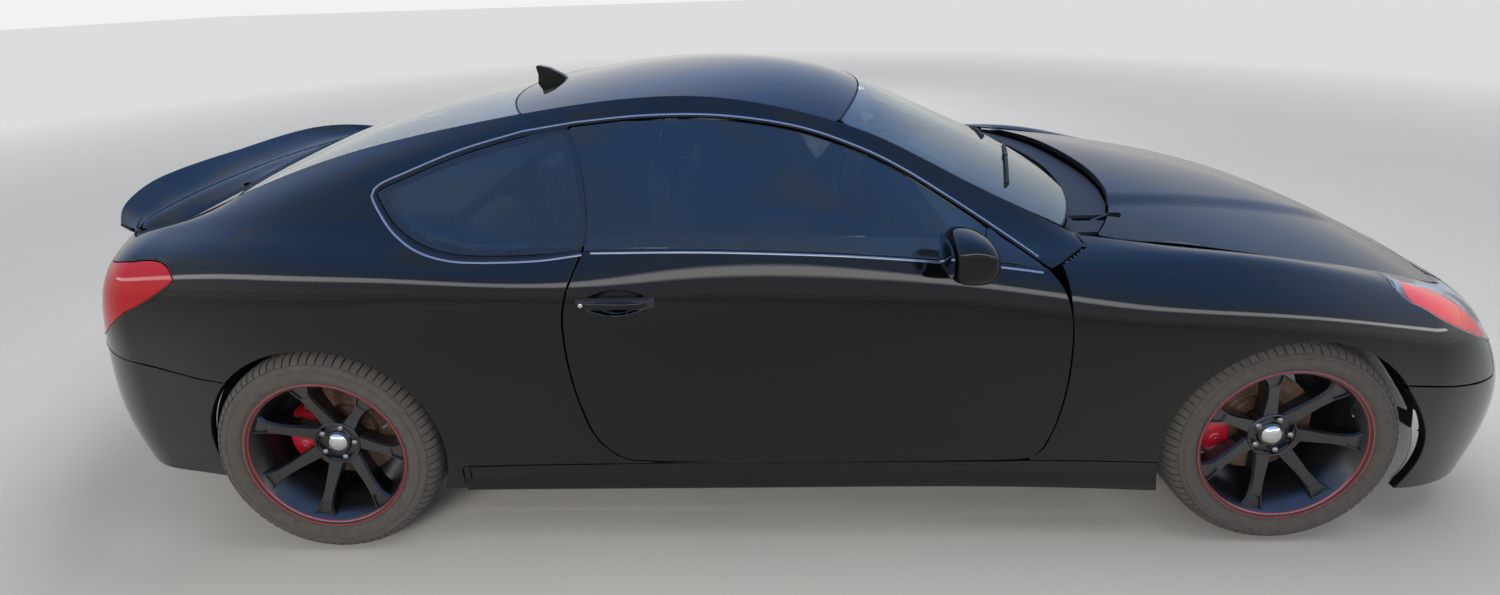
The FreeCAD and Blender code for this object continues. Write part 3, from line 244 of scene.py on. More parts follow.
skins = {zone: skinTable(zone) for zone in ("cabin", "front")}


def skinSurface(zone):
    def at(uv):
        i = np.clip(uv[:, 0] / skinGrid["lengthScale"], 0, 3) / 3 * skinGrid["stations"]
        j = np.clip(uv[:, 1] / skinGrid["heightScale"], 0, 1) * skinGrid["rows"]
        return interpolated(skins[zone], i, j)
    return at


def upperSurface(height):
    return lambda uv: np.stack([uv[:, 0], uv[:, 1], height(uv[:, 0], uv[:, 1])], axis=-1)


def surfaceNormals(surface, uv, step=1.0):
    du, dv = np.array([step, 0.0]), np.array([0.0, step])
    normals = np.cross(surface(uv + du) - surface(uv - du), surface(uv + dv) - surface(uv - dv))
    return normals / np.maximum(np.linalg.norm(normals, axis=1), 1e-9)[:, None]


def setIn(surface, depth):
    return lambda uv: surface(uv) - surfaceNormals(surface, uv) * depth


def shaped(surface, bulge):
    # adds a local form to a surface: bulge(points) gives the shift of each point
    def at(uv):
        points = surface(uv)
        return points + bulge(points)
    return at


skinNormals = {zone: surfaceNormals(skinSurface(zone), np.stack(np.meshgrid(
    np.linspace(0, 3, skinGrid["stations"] + 1) * skinGrid["lengthScale"],
    np.linspace(0, 1, skinGrid["rows"] + 1) * skinGrid["heightScale"], indexing="ij"), -1).reshape(-1, 2))
    for zone in skins}
skinTrees = {}
for zoneName, zoneTable in skins.items():
    tree = KDTree(zoneTable.shape[0] * zoneTable.shape[1])
    for index, point in enumerate(zoneTable.reshape(-1, 3)):
        tree.insert(point, index)
    tree.balance()
    skinTrees[zoneName] = tree
print("surfaces ready")


def onSkin(zone, targets, axes=(0, 2), stations=(0.0, 3.0), rows=(0.0, 1.0)):
    # places on the skin, in its own flat coordinates, whose two named coordinates are the targets'
    surface = skinSurface(zone)
    iFrom, iTo = (int(v / 3 * skinGrid["stations"]) for v in stations)
    jFrom, jTo = (int(v * skinGrid["rows"]) for v in rows)
    part = skins[zone][iFrom:iTo + 1, jFrom:jTo + 1][:, :, list(axes)]
    flat = part.reshape(-1, 2)
    found = []
    for target in np.asarray(targets, float):
        best = int(np.argmin(((flat - target) ** 2).sum(axis=1)))
        found.append(((iFrom + best // part.shape[1]) / skinGrid["stations"] * 3 * skinGrid["lengthScale"],
                      (jFrom + best % part.shape[1]) / skinGrid["rows"] * skinGrid["heightScale"]))
    uv = np.array(found)
    goal = np.asarray(targets, float)
    for _ in range(6):
        here = surface(uv)[:, list(axes)]
        alongU, alongV = ((surface(uv + move)[:, list(axes)] - surface(uv - move)[:, list(axes)]) / 2
                          for move in ([1.0, 0], [0, 1.0]))
        miss = goal - here
        area = alongU[:, 0] * alongV[:, 1] - alongU[:, 1] * alongV[:, 0]
        area = np.where(np.abs(area) < 0.02, np.copysign(0.02, area), area)
        move = np.stack([(miss[:, 0] * alongV[:, 1] - miss[:, 1] * alongV[:, 0]) / area,
                         (alongU[:, 0] * miss[:, 1] - alongU[:, 1] * miss[:, 0]) / area], axis=-1)
        uv = uv + np.clip(move, -20, 20)
        uv[:, 0] = np.clip(uv[:, 0], stations[0] * skinGrid["lengthScale"],
                           stations[1] * skinGrid["lengthScale"])
        uv[:, 1] = np.clip(uv[:, 1], rows[0] * skinGrid["heightScale"], rows[1] * skinGrid["heightScale"])
    return uv


# Lines and outlines
def smoothed(points, step=10.0, closed=False):
    # even spacing along a rounded line through the points
    points = [np.array(p, float) for p in points]
    count = len(points)
    dense = []
    spans = count if closed else count - 1
    for i in range(spans):
        a, b = points[i], points[(i + 1) % count]
        before = points[i - 1] if i > 0 or closed else 2 * a - b
        after = points[(i + 2) % count] if i + 2 < count or closed else 2 * b - a
        knots = [0.0]
        for p, q in ((before, a), (a, b), (b, after)):
            knots.append(knots[-1] + max(np.linalg.norm(q - p), 1e-6) ** 0.5)
        for share in np.linspace(0, 1, 24, endpoint=False):
            k = knots[1] + share * (knots[2] - knots[1])
            first = [(knots[j + 1] - k) / (knots[j + 1] - knots[j]) * p
                     + (k - knots[j]) / (knots[j + 1] - knots[j]) * q
                     for j, (p, q) in enumerate(((before, a), (a, b), (b, after)))]
            second = [(knots[j + 2] - k) / (knots[j + 2] - knots[j]) * first[j]
                      + (k - knots[j]) / (knots[j + 2] - knots[j]) * first[j + 1] for j in range(2)]
            dense.append((knots[2] - k) / (knots[2] - knots[1]) * second[0]
                         + (k - knots[1]) / (knots[2] - knots[1]) * second[1])
    if not closed:
        dense.append(points[-1])
    return resampled(np.array(dense), step, closed)


def resampled(points, step=10.0, closed=False):
    points = np.asarray(points, float)
    if closed:
        points = np.vstack([points, points[:1]])
    lengths = np.concatenate([[0.0], np.cumsum(np.linalg.norm(np.diff(points, axis=0), axis=1))])
    count = max(int(round(lengths[-1] / step)), 2)
    places = np.linspace(0, lengths[-1], count + 1)
    result = np.stack([np.interp(places, lengths, points[:, k]) for k in range(points.shape[1])], axis=-1)
    return result[:-1] if closed else result


def evenLine(line, step=14.0, passes=10):
    # evenly spaced points with the small steps of the inversion averaged out
    line = resampled(line, step)
    for _ in range(passes):
        line[1:-1] = (line[:-2] + 2 * line[1:-1] + line[2:]) / 4
    return line


def offsetLine(points, distance):
    # a line moved to its left by a distance
    points = np.asarray(points, float)
    along = np.gradient(points, axis=0)
    along /= np.maximum(np.linalg.norm(along, axis=1), 1e-9)[:, None]
    return points + distance * np.stack([-along[:, 1], along[:, 0]], axis=-1)


def joined(*lines):
    # several lines end to end as one loop, with points nearer than a millimetre merged
    merged = []
    for point in np.vstack([np.asarray(line, float) for line in lines]):
        if not merged or np.linalg.norm(point - merged[-1]) > 1.0:
            merged.append(point)
    if np.linalg.norm(merged[0] - merged[-1]) < 1.0:
        merged.pop()
    return np.array(merged)


def arc(centre, radius, startDegrees, endDegrees, step=10.0):
    count = max(int(abs(math.radians(endDegrees - startDegrees)) * radius / step), 3)
    angles = np.radians(np.linspace(startDegrees, endDegrees, count + 1))
    return np.stack([centre[0] + radius * np.cos(angles), centre[1] + radius * np.sin(angles)], axis=-1)


def insideLoop(points, loop):
    inside = np.zeros(len(points), bool)
    for (x0, y0), (x1, y1) in zip(loop, np.roll(loop, -1, axis=0)):
        crosses = (y0 > points[:, 1]) != (y1 > points[:, 1])
        inside ^= crosses & (points[:, 0] < (x1 - x0) * (points[:, 1] - y0) / (y1 - y0 + 1e-12) + x0)
    return inside


# Pieces. A part is a dictionary of points in millimetres, faces, one normal a point and a material.
panelEdge = {"radius": 2.0, "steps": 3, "flange": 14.0, "clearance": 0.55}


def fillPoints(loops, rim, grids, step):
    # evenly spaced points inside the outline, clear of its rim; each later grid replaces the ones before it
    rimTree = KDTree(len(rim))
    for i, point in enumerate(rim):
        rimTree.insert((*point, 0.0), i)
    rimTree.balance()
    fill = []
    for order, (a, b, spacing) in enumerate(grids):
        grid = np.stack(np.meshgrid(np.arange(a[0] + spacing / 2, b[0], spacing),
                                    np.arange(a[1] + spacing / 2, b[1], spacing)), -1).reshape(-1, 2)
        for c, d, _ in grids[order + 1:]:
            grid = grid[~((grid > c).all(axis=1) & (grid < d).all(axis=1))]
        clearance = panelEdge["clearance"] * min(spacing, step)
        fill += [p for p in grid[insidePanel(grid, loops)] if rimTree.find((*p, 0.0))[2] > clearance]
    return fill


def insidePanel(points, loops):
    # inside the first loop and outside all others
    keep = insideLoop(points, loops[0])
    for hole in loops[1:]:
        keep &= ~insideLoop(points, hole)
    return keep


def panelPart(surface, outline, material, holes=(), step=12.0, fine=(), seamAtCentre=False, flange=None,
              radius=None):
    # a sheet panel: its outline is filled in flat coordinates, laid on the surface and hemmed all round
    loops = [np.asarray(loop, float) for loop in [outline] + list(holes)]
    edges, start = [], 0
    for loop in loops:
        edges += [(start + i, start + (i + 1) % len(loop)) for i in range(len(loop))]
        start += len(loop)
    rim = np.vstack(loops)
    low, high = rim.min(axis=0), rim.max(axis=0)
    grids = [(low, high, step)] + [(np.array(a, float), np.array(b, float), s) for a, b, s in fine]
    fill = fillPoints(loops, rim, grids, step)
    flat = np.vstack([rim] + ([np.array(fill)] if fill else []))
    points, _, triangles, *_ = delaunay_2d_cdt([Vector(p) for p in flat], edges, [], 0, 1e-6)
    uv = np.array([tuple(p) for p in points])
    triangles = np.array(triangles)
    triangles = triangles[insidePanel(uv[triangles].mean(axis=1), loops)]
    a, b, c = (uv[triangles[:, k]] for k in range(3))
    area = (b - a)[:, 0] * (c - a)[:, 1] - (b - a)[:, 1] * (c - a)[:, 0]
    triangles = np.where((area < 0)[:, None], triangles[:, ::-1], triangles)
    triangles = triangles[np.abs(area) > 1e-6]
    used, triangles = np.unique(triangles, return_inverse=True)
    triangles = triangles.reshape(-1, 3)
    uv = uv[used]
    verts = surface(uv)
    normals = surfaceNormals(surface, uv)
    if seamAtCentre:
        middle = np.abs(verts[:, 1]) < 0.6
        verts[middle, 1] = 0.0
        normals[middle, 1] = 0.0
        normals /= np.linalg.norm(normals, axis=1)[:, None]
    faces = [tuple(t) for t in triangles.tolist()]
    directed = {(t[i], t[(i + 1) % 3]) for t in faces for i in range(3)}
    border = [(i, j) for i, j in directed if (j, i) not in directed]
    if seamAtCentre:
        border = [(i, j) for i, j in border if abs(verts[i, 1]) + abs(verts[j, 1]) > 0.01]
    whole = hemmed({"verts": verts, "faces": faces, "normals": normals, "material": material}, border,
                   panelEdge["radius"] if radius is None else radius,
                   panelEdge["flange"] if flange is None else flange)
    return {**whole, "core": len(verts)}


def slabPart(surface, outline, material, thickness, **options):
    # a pane: the smooth face, its thin edge and its inner face
    front = panelPart(surface, outline, material, flange=thickness, radius=0.5, **options)
    core = front["core"]
    inner = {"verts": front["verts"][:core] - front["normals"][:core] * (thickness + 0.5),
             "normals": -front["normals"][:core], "material": material,
             "faces": [tuple(reversed(face)) for face in front["faces"] if max(face) < core]}
    return [front, inner]


def hemmed(part, border, radius, flange):
    # rolls each free edge over a small radius and turns it inwards as a flange
    verts, normals, faces = part["verts"], part["normals"], part["faces"]
    outward = np.zeros_like(verts)
    for i, j in border:
        side = np.cross(verts[j] - verts[i], normals[i] + normals[j])
        side /= max(np.linalg.norm(side), 1e-9)
        outward[i] += side
        outward[j] += side
    rim = sorted({i for edge in border for i in edge})
    if not rim:
        return part
    out = outward[rim]
    up = normals[rim]
    out = out - (out * up).sum(axis=1)[:, None] * up
    out /= np.maximum(np.linalg.norm(out, axis=1), 1e-9)[:, None]
    place = {old: k for k, old in enumerate(rim)}
    rings, ringNormals = [verts[rim]], [up]
    for k in range(1, panelEdge["steps"] + 1):
        angle = math.pi / 2 * k / panelEdge["steps"]
        rings.append(verts[rim] + radius * (math.sin(angle) * out - (1 - math.cos(angle)) * up))
        ringNormals.append(math.sin(angle) * out + math.cos(angle) * up)
    rings.append(rings[-1] - flange * up)
    ringNormals.append(out)
    total = len(verts)
    count = len(rim)
    newFaces = []
    for i, j in border:
        a, b = place[i], place[j]
        for k in range(len(rings) - 1):
            lowA = i if k == 0 else total + (k - 1) * count + a
            lowB = j if k == 0 else total + (k - 1) * count + b
            newFaces.append((lowB, lowA, total + k * count + a, total + k * count + b))
    return {"verts": np.vstack([verts] + rings[1:]), "normals": np.vstack([normals] + ringNormals[1:]),
            "faces": faces + newFaces, "material": part["material"]}


def mirroredPart(part):
    flip = np.array([1.0, -1.0, 1.0])
    return {"verts": part["verts"] * flip, "normals": part["normals"] * flip,
            "faces": [tuple(reversed(face)) for face in part["faces"]], "material": part["material"]}


def faceNormal(corners):
    normal = np.cross(corners[1] - corners[0], corners[2] - corners[0])
    if len(corners) > 3:
        normal = normal + np.cross(corners[2] - corners[0], corners[3] - corners[0])
    return normal


def meshPart(verts, faces, material, flat=True):
    # a part from plain points and faces, each face with its own points when it is to look flat
    verts = np.asarray(verts, float)
    if flat:
        newVerts, newFaces, normals = [], [], []
        for face in faces:
            corners = verts[list(face)]
            normal = faceNormal(corners)
            normal = normal / max(np.linalg.norm(normal), 1e-12)
            newFaces.append(tuple(range(len(newVerts), len(newVerts) + len(face))))
            newVerts += list(corners)
            normals += [normal] * len(face)
        return {"verts": np.array(newVerts), "faces": newFaces, "normals": np.array(normals),
                "material": material}
    normals = np.zeros_like(verts)
    for face in faces:
        normal = faceNormal(verts[list(face)])
        for i in face:
            normals[i] += normal
    normals /= np.maximum(np.linalg.norm(normals, axis=1), 1e-12)[:, None]
    return {"verts": verts, "faces": [tuple(f) for f in faces], "normals": normals, "material": material}


def cadPart(node, material, isOuter=None):
    # a CAD node's own triangles, less those that a smooth panel takes the place of
    mesh = nodes[node].data
    verts = np.empty(len(mesh.vertices) * 3)
    mesh.vertices.foreach_get("co", verts)
    verts = verts.reshape(-1, 3) * 1000.0
    mesh.calc_loop_triangles()
    triangles = np.empty(len(mesh.loop_triangles) * 3, int)
    mesh.loop_triangles.foreach_get("vertices", triangles)
    triangles = triangles.reshape(-1, 3)
    corners = verts[triangles]
    normals = np.cross(corners[:, 1] - corners[:, 0], corners[:, 2] - corners[:, 0])
    normals /= np.maximum(np.linalg.norm(normals, axis=1), 1e-12)[:, None]
    if isOuter is not None:
        keep = ~isOuter(corners.mean(axis=1), normals)
        corners, normals = corners[keep], normals[keep]
    return {"verts": corners.reshape(-1, 3), "normals": np.repeat(normals, 3, axis=0), "material": material,
            "faces": [(3 * i, 3 * i + 1, 3 * i + 2) for i in range(len(corners))]}


# how near a CAD triangle lies to a smooth panel, and how nearly it faces the same way, to be its double
doubles = {"skinGap": 4.5, "skinFacing": 0.8, "upperGap": 5.0, "upperFacing": 0.5}


def onSkinFace(zone):
    # tells which CAD triangles lie on the outside of the skin
    def test(centres, normals):
        outer = np.zeros(len(centres), bool)
        for i, (centre, normal) in enumerate(zip(centres, normals)):
            mirrored = np.array((1.0, -1.0 if centre[1] > 0 else 1.0, 1.0))
            place, index, _ = skinTrees[zone].find(tuple(centre * mirrored))
            skinNormal = skinNormals[zone][index]
            gap = np.dot(centre * mirrored - np.array(place), skinNormal)
            facing = np.dot(normal * mirrored, skinNormal)
            outer[i] = abs(gap) < doubles["skinGap"] and facing > doubles["skinFacing"]
        return outer
    return test


def onUpperFace(height):
    return lambda centres, normals: (
        (np.abs(centres[:, 2] - height(centres[:, 0], centres[:, 1])) < doubles["upperGap"])
        & (normals[:, 2] > doubles["upperFacing"]))


def buildPiece(name, parts, body, replaced=()):
    # one object from several parts, riding a body; clear pieces cast no shadow, as thin glass nearly does
    verts, faces, normals, materialOf, materialNames, start = [], [], [], [], [], 0
    for part in parts:
        if part["material"] not in materialNames:
            materialNames.append(part["material"])
        materialOf += [materialNames.index(part["material"])] * len(part["faces"])
        faces += [tuple(start + i for i in face) for face in part["faces"]]
        verts.append(part["verts"])
        normals.append(part["normals"])
        start += len(part["verts"])
    mesh = bpy.data.meshes.new(name)
    mesh.from_pydata((np.vstack(verts) / 1000.0).tolist(), [], faces)
    for materialName in materialNames:
        mesh.materials.append(materials[materialName])
    mesh.polygons.foreach_set("material_index", materialOf)
    mesh.polygons.foreach_set("use_smooth", [True] * len(faces))
    mesh.normals_split_custom_set_from_vertices(np.vstack(normals).tolist())
    piece = bpy.data.objects.new(name, mesh)
    bpy.context.scene.collection.objects.link(piece)
    if replaced:
        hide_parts(*replaced)
    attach(piece, body)
    piece.visible_shadow = not any("Glass" in name or "Polycarbonate" in name for name in materialNames)
    return piece


# Materials
def linear(hexColour, alpha=1.0):
    channels = [int(hexColour[i:i + 2], 16) / 255 for i in (1, 3, 5)]
    return [c / 12.92 if c <= 0.04045 else ((c + 0.055) / 1.055) ** 2.4 for c in channels] + [alpha]


materials = {}


def newMaterial(name, colour, **sockets):
    material = bpy.data.materials.new(name)
    material.use_nodes = True
    shader = material.node_tree.nodes["Principled BSDF"]
    shader.inputs["Base Color"].default_value = linear(colour)
    for socket, value in sockets.items():
        shader.inputs[socket.replace("_", " ")].default_value = value
    materials[name] = material
    return material.node_tree, shader


def addNode(tree, kind, settings=None, links=None):
    # settings: attribute or input values; links: input name or number to an output socket
    node = tree.nodes.new(kind)
    for key, value in (settings or {}).items():
        if isinstance(key, str) and hasattr(node, key):
            setattr(node, key, value)
        else:
            node.inputs[key].default_value = value
    for key, output in (links or {}).items():
        tree.links.new(node.inputs[key], output)
    return node


def addBump(tree, shader, height, distance, strength=1.0):
    bump = addNode(tree, "ShaderNodeBump", {"Distance": distance, "Strength": strength}, {"Height": height})
    tree.links.new(shader.inputs["Normal"], bump.outputs["Normal"])
    return bump


def objectPlace(tree):
    return addNode(tree, "ShaderNodeTexCoord").outputs["Object"]


def heightOf(tree, vector):
    return addNode(tree, "ShaderNodeSeparateXYZ", None, {"Vector": vector}).outputs["Z"]


def noiseOn(tree, scale, detail, roughness=0.5):
    return addNode(tree, "ShaderNodeTexNoise", {"Scale": scale, "Detail": detail, "Roughness": roughness},
                   {"Vector": objectPlace(tree)}).outputs["Fac"]


def twoInputs(tree, operation, first, second):
    return addNode(tree, "ShaderNodeMath", {"operation": operation}, {0: first, 1: second}).outputs[0]


def mixedColour(tree, share, low, high):
    # high is a colour; low is a colour or another node's output
    mix = addNode(tree, "ShaderNodeMix", {"data_type": "RGBA"}, {0: share})
    if isinstance(low, list):
        mix.inputs[6].default_value = low
    else:
        tree.links.new(mix.inputs[6], low)
    mix.inputs[7].default_value = high
    return mix.outputs[2]


def mottled(tree, shader, film, stops):
    # base colour that wanders between two tones: (place on the ramp, colour)
    ramp = addNode(tree, "ShaderNodeValToRGB", None, {"Fac": film})
    for element, (position, colour) in zip(ramp.color_ramp.elements, stops):
        element.position = position
        element.color = linear(colour)
    tree.links.new(shader.inputs["Base Color"], ramp.outputs["Color"])


paint = {"colour": "#050608", "dust": "#8b857b", "dustShare": 0.045, "dustTop": 0.62, "dustFull": 0.12}


def paintMaterial():
    # black base coat under clear lacquer, sprayed: deep gloss with a faint orange peel, dusty low down
    tree, shader = newMaterial("lacqueredBlackPaint", paint["colour"], Roughness=0.42, Specular_IOR_Level=0.0,
                               Coat_Weight=1.0, Coat_Roughness=0.012, Coat_IOR=1.38)
    peel = addBump(tree, shader, noiseOn(tree, 180.0, 1.0), 0.00002)
    tree.links.new(shader.inputs["Coat Normal"], peel.outputs["Normal"])
    low = addNode(tree, "ShaderNodeMapRange", {"From Min": paint["dustTop"], "From Max": paint["dustFull"]},
                  {"Value": heightOf(tree, objectPlace(tree))})
    dust = twoInputs(tree, "MULTIPLY", low.outputs["Result"], noiseOn(tree, 9.0, 8.0, 0.7))
    film = addNode(tree, "ShaderNodeMath", {"operation": "MULTIPLY", 1: paint["dustShare"]}, {0: dust})
    dusted = mixedColour(tree, film.outputs[0], linear(paint["colour"]), linear(paint["dust"]))
    tree.links.new(shader.inputs["Base Color"], dusted)


def rubberMaterial():
    # carbon-black tyre rubber, moulded and road-worn: matt, bleached by fine dust that lies in streaks
    tree, shader = newMaterial("dustyTyreRubber", "#4a4641", Roughness=0.88)
    mottled(tree, shader, noiseOn(tree, 46.0, 10.0, 0.72), ((0.28, "#45413d"), (0.78, "#5c5650")))
    addBump(tree, shader, noiseOn(tree, 900.0, 2.0), 0.0003, 0.5)


def grainedPlastic(name, colour, roughness, grainMillimetres, depth):
    # injection-moulded plastic with a spark-eroded grain: soft matt sheen
    tree, shader = newMaterial(name, colour, Roughness=roughness)
    grain = addNode(tree, "ShaderNodeTexVoronoi", {"Scale": 1000.0 / grainMillimetres},
                    {"Vector": objectPlace(tree)})
    addBump(tree, shader, grain.outputs["Distance"], depth, 0.6)


def discMaterial():
    # turned grey iron, rusted by the weather: brown film over a machined ring pattern
    tree, shader = newMaterial("rustedDiscIron", "#5b4437", Metallic=0.55, Roughness=0.62)
    film = noiseOn(tree, 22.0, 8.0, 0.7)
    mottled(tree, shader, film, ((0.35, "#54402f"), (0.7, "#84695a")))
    addBump(tree, shader, film, 0.0004, 0.5)


paintMaterial()
rubberMaterial()
discMaterial()
# moulded black plastic of grille, cowl and wipers; liner plastic whose pale grey is painted light; trim; hide
# with fine holes; its piping
grainedPlastic("grainedBlackPlastic", "#17181a", 0.62, 1.2, 0.0002)
# the liners' pale grey is painted light on black plastic; the rear liners stay black
grainedPlastic("linerPlasticPaintedLight", "#a9acae", 0.7, 2.5, 0.0005)
grainedPlastic("grainedTrimPlastic", "#1d1e20", 0.55, 0.9, 0.00015)
grainedPlastic("perforatedSeatLeather", "#232427", 0.48, 2.4, 0.0003)
grainedPlastic("stitchedSeatPiping", "#2c2d30", 0.5, 1.2, 0.0003)
grainedPlastic("bleachedSealRubber", "#878b8e", 0.6, 1.0, 0.0001)
# two-coat satin wheel paint, near black; its red pinstripe; enamel of the calipers
newMaterial("satinBlackWheelPaint", "#111214", Roughness=0.34, Coat_Weight=0.35, Coat_Roughness=0.22)
newMaterial("redPinstripePaint", "#a31522", Roughness=0.32, Coat_Weight=0.5, Coat_Roughness=0.1)
newMaterial("redCaliperEnamel", "#b1122a", Roughness=0.33, Coat_Weight=0.6, Coat_Roughness=0.1)
# bright metals: polished chrome, zinc-plated steel, satin anodised window trim
newMaterial("polishedCapChrome", "#c9c9c6", Metallic=1.0, Roughness=0.12)
newMaterial("zincNutSteel", "#8e8c86", Metallic=1.0, Roughness=0.34)
newMaterial("satinTrimAluminium", "#8f9092", Metallic=1.0, Roughness=0.3)
# gloss pillar plastic, ceramic border fired on the glass, black silicone
newMaterial("glossBlackPlastic", "#0a0a0b", Roughness=0.12)
newMaterial("blackFritCeramic", "#050506", Roughness=0.25)
newMaterial("siliconeSealRubber", "#0c0c0d", Roughness=0.7)
# grey-tinted side glass, laminated screens with a green cast, clear lamp covers
newMaterial("tintedSideGlass", "#7d898c", Roughness=0.0, Transmission_Weight=1.0, IOR=1.5)
newMaterial("laminatedScreenGlass", "#a9b8b2", Roughness=0.0, Transmission_Weight=1.0, IOR=1.5)
newMaterial("clearLampPolycarbonate", "#e8ebec", Roughness=0.02, Transmission_Weight=1.0, IOR=1.58)
# dyed lamp acrylics under a gloss face, and the vapour-coated reflectors behind them
newMaterial("redLampAcrylic", "#a80411", Roughness=0.3, Specular_IOR_Level=0.0, Coat_Weight=1.0,
            Coat_Roughness=0.03, Coat_IOR=1.33)
newMaterial("palePinkLampAcrylic", "#dd8f95", Roughness=0.05, Coat_Weight=0.6, Coat_IOR=1.4)
newMaterial("amberLampAcrylic", "#e3260c", Roughness=0.3, Specular_IOR_Level=0.2)
newMaterial("silveredMirrorGlass", "#c4c8ca", Metallic=1.0, Roughness=0.03)
newMaterial("aluminisedReflector", "#e3e7ea", Metallic=1.0, Roughness=0.38)
# underside: sprayed wax, cast iron, brushed exhaust steel
newMaterial("sprayedUnderbodyWax", "#1a1b1c", Roughness=0.75)
newMaterial("castIron", "#3d3c3b", Metallic=0.6, Roughness=0.6)
newMaterial("brushedExhaustSteel", "#8c8a86", Metallic=1.0, Roughness=0.32)
print("materials ready:", len(materials))


# Shut lines and window outlines in side view, (x, z)
doorLines = {
    "lower": [(-548, 943), (-575, 880), (-597, 800), (-600, 700), (-590, 590), (-570, 490), (-538, 390),
              (-500, 335), (-455, 302), (-400, 292), (690, 284), (735, 290), (768, 315), (792, 370),
              (812, 450), (826, 550), (830, 660), (828, 760), (815, 820), (790, 858)],
    "top": [(790, 858), (640, 880), (449, 902), (222, 922), (0, 934), (-207, 941), (-548, 943)],
    "glassTop": [(-548, 943), (-628, 1262), (-402, 1277), (-150, 1270), (102, 1228), (285, 1162),
                 (403, 1103), (564, 1003), (700, 915), (790, 858)],
    "quarterTop": [(-634, 1262), (-778, 1240), (-975, 1190), (-1136, 1132), (-1196, 1108), (-1210, 1095),
                   (-1200, 1080), (-1136, 1018), (-1080, 985), (-1019, 962), (-940, 944), (-861, 936),
                   (-677, 934), (-554, 945)],
    "fenderRear": [(838, 858), (836, 760), (838, 660), (834, 550), (820, 450), (800, 370), (776, 312),
                   (745, 290)],
}
lampLines = {
    "head": [(1806, 760), (1846, 766), (1915, 750), (2025, 722), (2132, 690), (2200, 664), (2250, 632),
             (2252, 596), (2190, 562), (2150, 572), (2070, 608), (1988, 646), (1897, 692), (1846, 726),
             (1815, 742)],
    "tailTop": [(-1735, 900), (-1742, 920), (-1760, 943), (-1811, 948), (-1870, 943), (-1970, 928),
                (-2080, 905), (-2400, 880)],
    "tailBottom": [(-2400, 676), (-2160, 676), (-2050, 700), (-1960, 762), (-1887, 810), (-1811, 842),
                   (-1760, 873), (-1735, 900)],
    # inner end of the tail lamp, and the stretches of the skin that the lamps lie on
    "tailInnerY": -505.0, "tailStations": (0.0, 1.4), "headStations": (1.8, 3.0),
}
bumperLines = {
    "rearTop": [(-1600, 585), (-1700, 598), (-1888, 636), (-2050, 655), (-2160, 666), (-2500, 680)],
    # the seam between fender and front bumper: each panel's own edge of it
    "fenderEdge": [(1758, 537), (1860, 527), (2018, 512), (2086, 505), (2096, 514), (2096, 640)],
    "bumperEdge": [(2103, 640), (2103, 512), (2090, 497), (2018, 503), (1860, 518), (1759, 529)],
    # front openings, (y, z)
    "intake": [(0, 232), (-480, 232), (-520, 262), (-575, 455), (-540, 492), (0, 492)],
    "fogRecess": [(-795, 420), (-770, 318), (-700, 296), (-630, 300), (-640, 360), (-690, 415)],
    "tipRadius": 52.0, "tipPlace": (-430.0, 282.0),
}


# Lines across the car in plan, (x, y)
def arcLine(side, centre, halfWidth, power=2.0, count=81, reach=None):
    y = np.linspace(-(reach or halfWidth), reach or halfWidth, count)
    return np.stack([centre + (side - centre) * np.abs(y / halfWidth) ** power, y], axis=-1)


planLines = {
    "header": arcLine(236, 385, 560, 1.8),
    "glassBase": arcLine(905, 1125, 680, 2.4),
    "roofRear": arcLine(-800, -972, 570),
    "rearGlassBase": arcLine(-1752, -1886, 606),
    "lidFront": arcLine(-1764, -1898, 606),
    "hoodRear": arcLine(1008, 1262, 690, 2.9, reach=672),
    "hoodFront": arcLine(2130, 2262, 634),
    "hoodSide": smoothed([(1021, 682), (1125, 706), (1371, 715), (1630, 710), (1914, 692), (2060, 664),
                          (2130, 634)]),
}


def hoodLoop(grow=0.0):
    side = planLines["hoodSide"] + [0, grow]
    return joined(planLines["hoodRear"] - [grow, 0], side, planLines["hoodFront"][::-1] + [grow, 0],
                  side[::-1] * [1, -1])


def grownLoop(loop, distance):
    # a closed loop moved outwards by a distance
    loop = np.asarray(loop, float)
    following = np.roll(loop, -1, axis=0)
    area = (loop[:, 0] * following[:, 1] - following[:, 0] * loop[:, 1]).sum()
    closed = np.vstack([loop[-1:], loop, loop[:1]])
    return offsetLine(closed, -distance if area > 0 else distance)[1:-1]


def skinLine(stationFrom, stationTo, row, step=12.0):
    # straight line in the skin's own coordinates along one row
    count = max(int(abs(stationTo - stationFrom) * skinGrid["lengthScale"] / step), 2)
    u = np.linspace(stationFrom, stationTo, count + 1) * skinGrid["lengthScale"]
    return np.stack([u, np.full_like(u, row * skinGrid["heightScale"])], axis=-1)


def rowLine(zone, stationFrom, stationTo, beyond, step=12.0, rowFrom=0.0):
    # the highest place at each station that stays short of a limit
    count = max(int(abs(stationTo - stationFrom) * skinGrid["lengthScale"] / step), 2)
    u = np.linspace(stationFrom, stationTo, count + 1) * skinGrid["lengthScale"]
    rows = np.linspace(rowFrom, 1.0, 81) * skinGrid["heightScale"]
    uv = np.stack(np.meshgrid(u, rows, indexing="ij"), -1).reshape(-1, 2)
    past = beyond(skinSurface(zone)(uv)).reshape(len(u), len(rows))
    first = np.where(past.any(axis=1), np.argmax(past, axis=1), len(rows) - 1)
    low, high = rows[np.maximum(first - 1, 0)], rows[first]
    for _ in range(10):
        middle = (low + high) / 2
        over = beyond(skinSurface(zone)(np.stack([u, middle], -1)))
        low, high = np.where(over, low, middle), np.where(over, middle, high)
    return np.stack([u, np.where(past.any(axis=1), low, rows[-1])], -1)


def seamRow(zone, height):
    # flat height coordinate of a height on the centre line
    column = skins[zone][-1 if zone == "front" else 0][:, 2]
    return np.interp(height, column, np.linspace(0, skinGrid["heightScale"], len(column)))


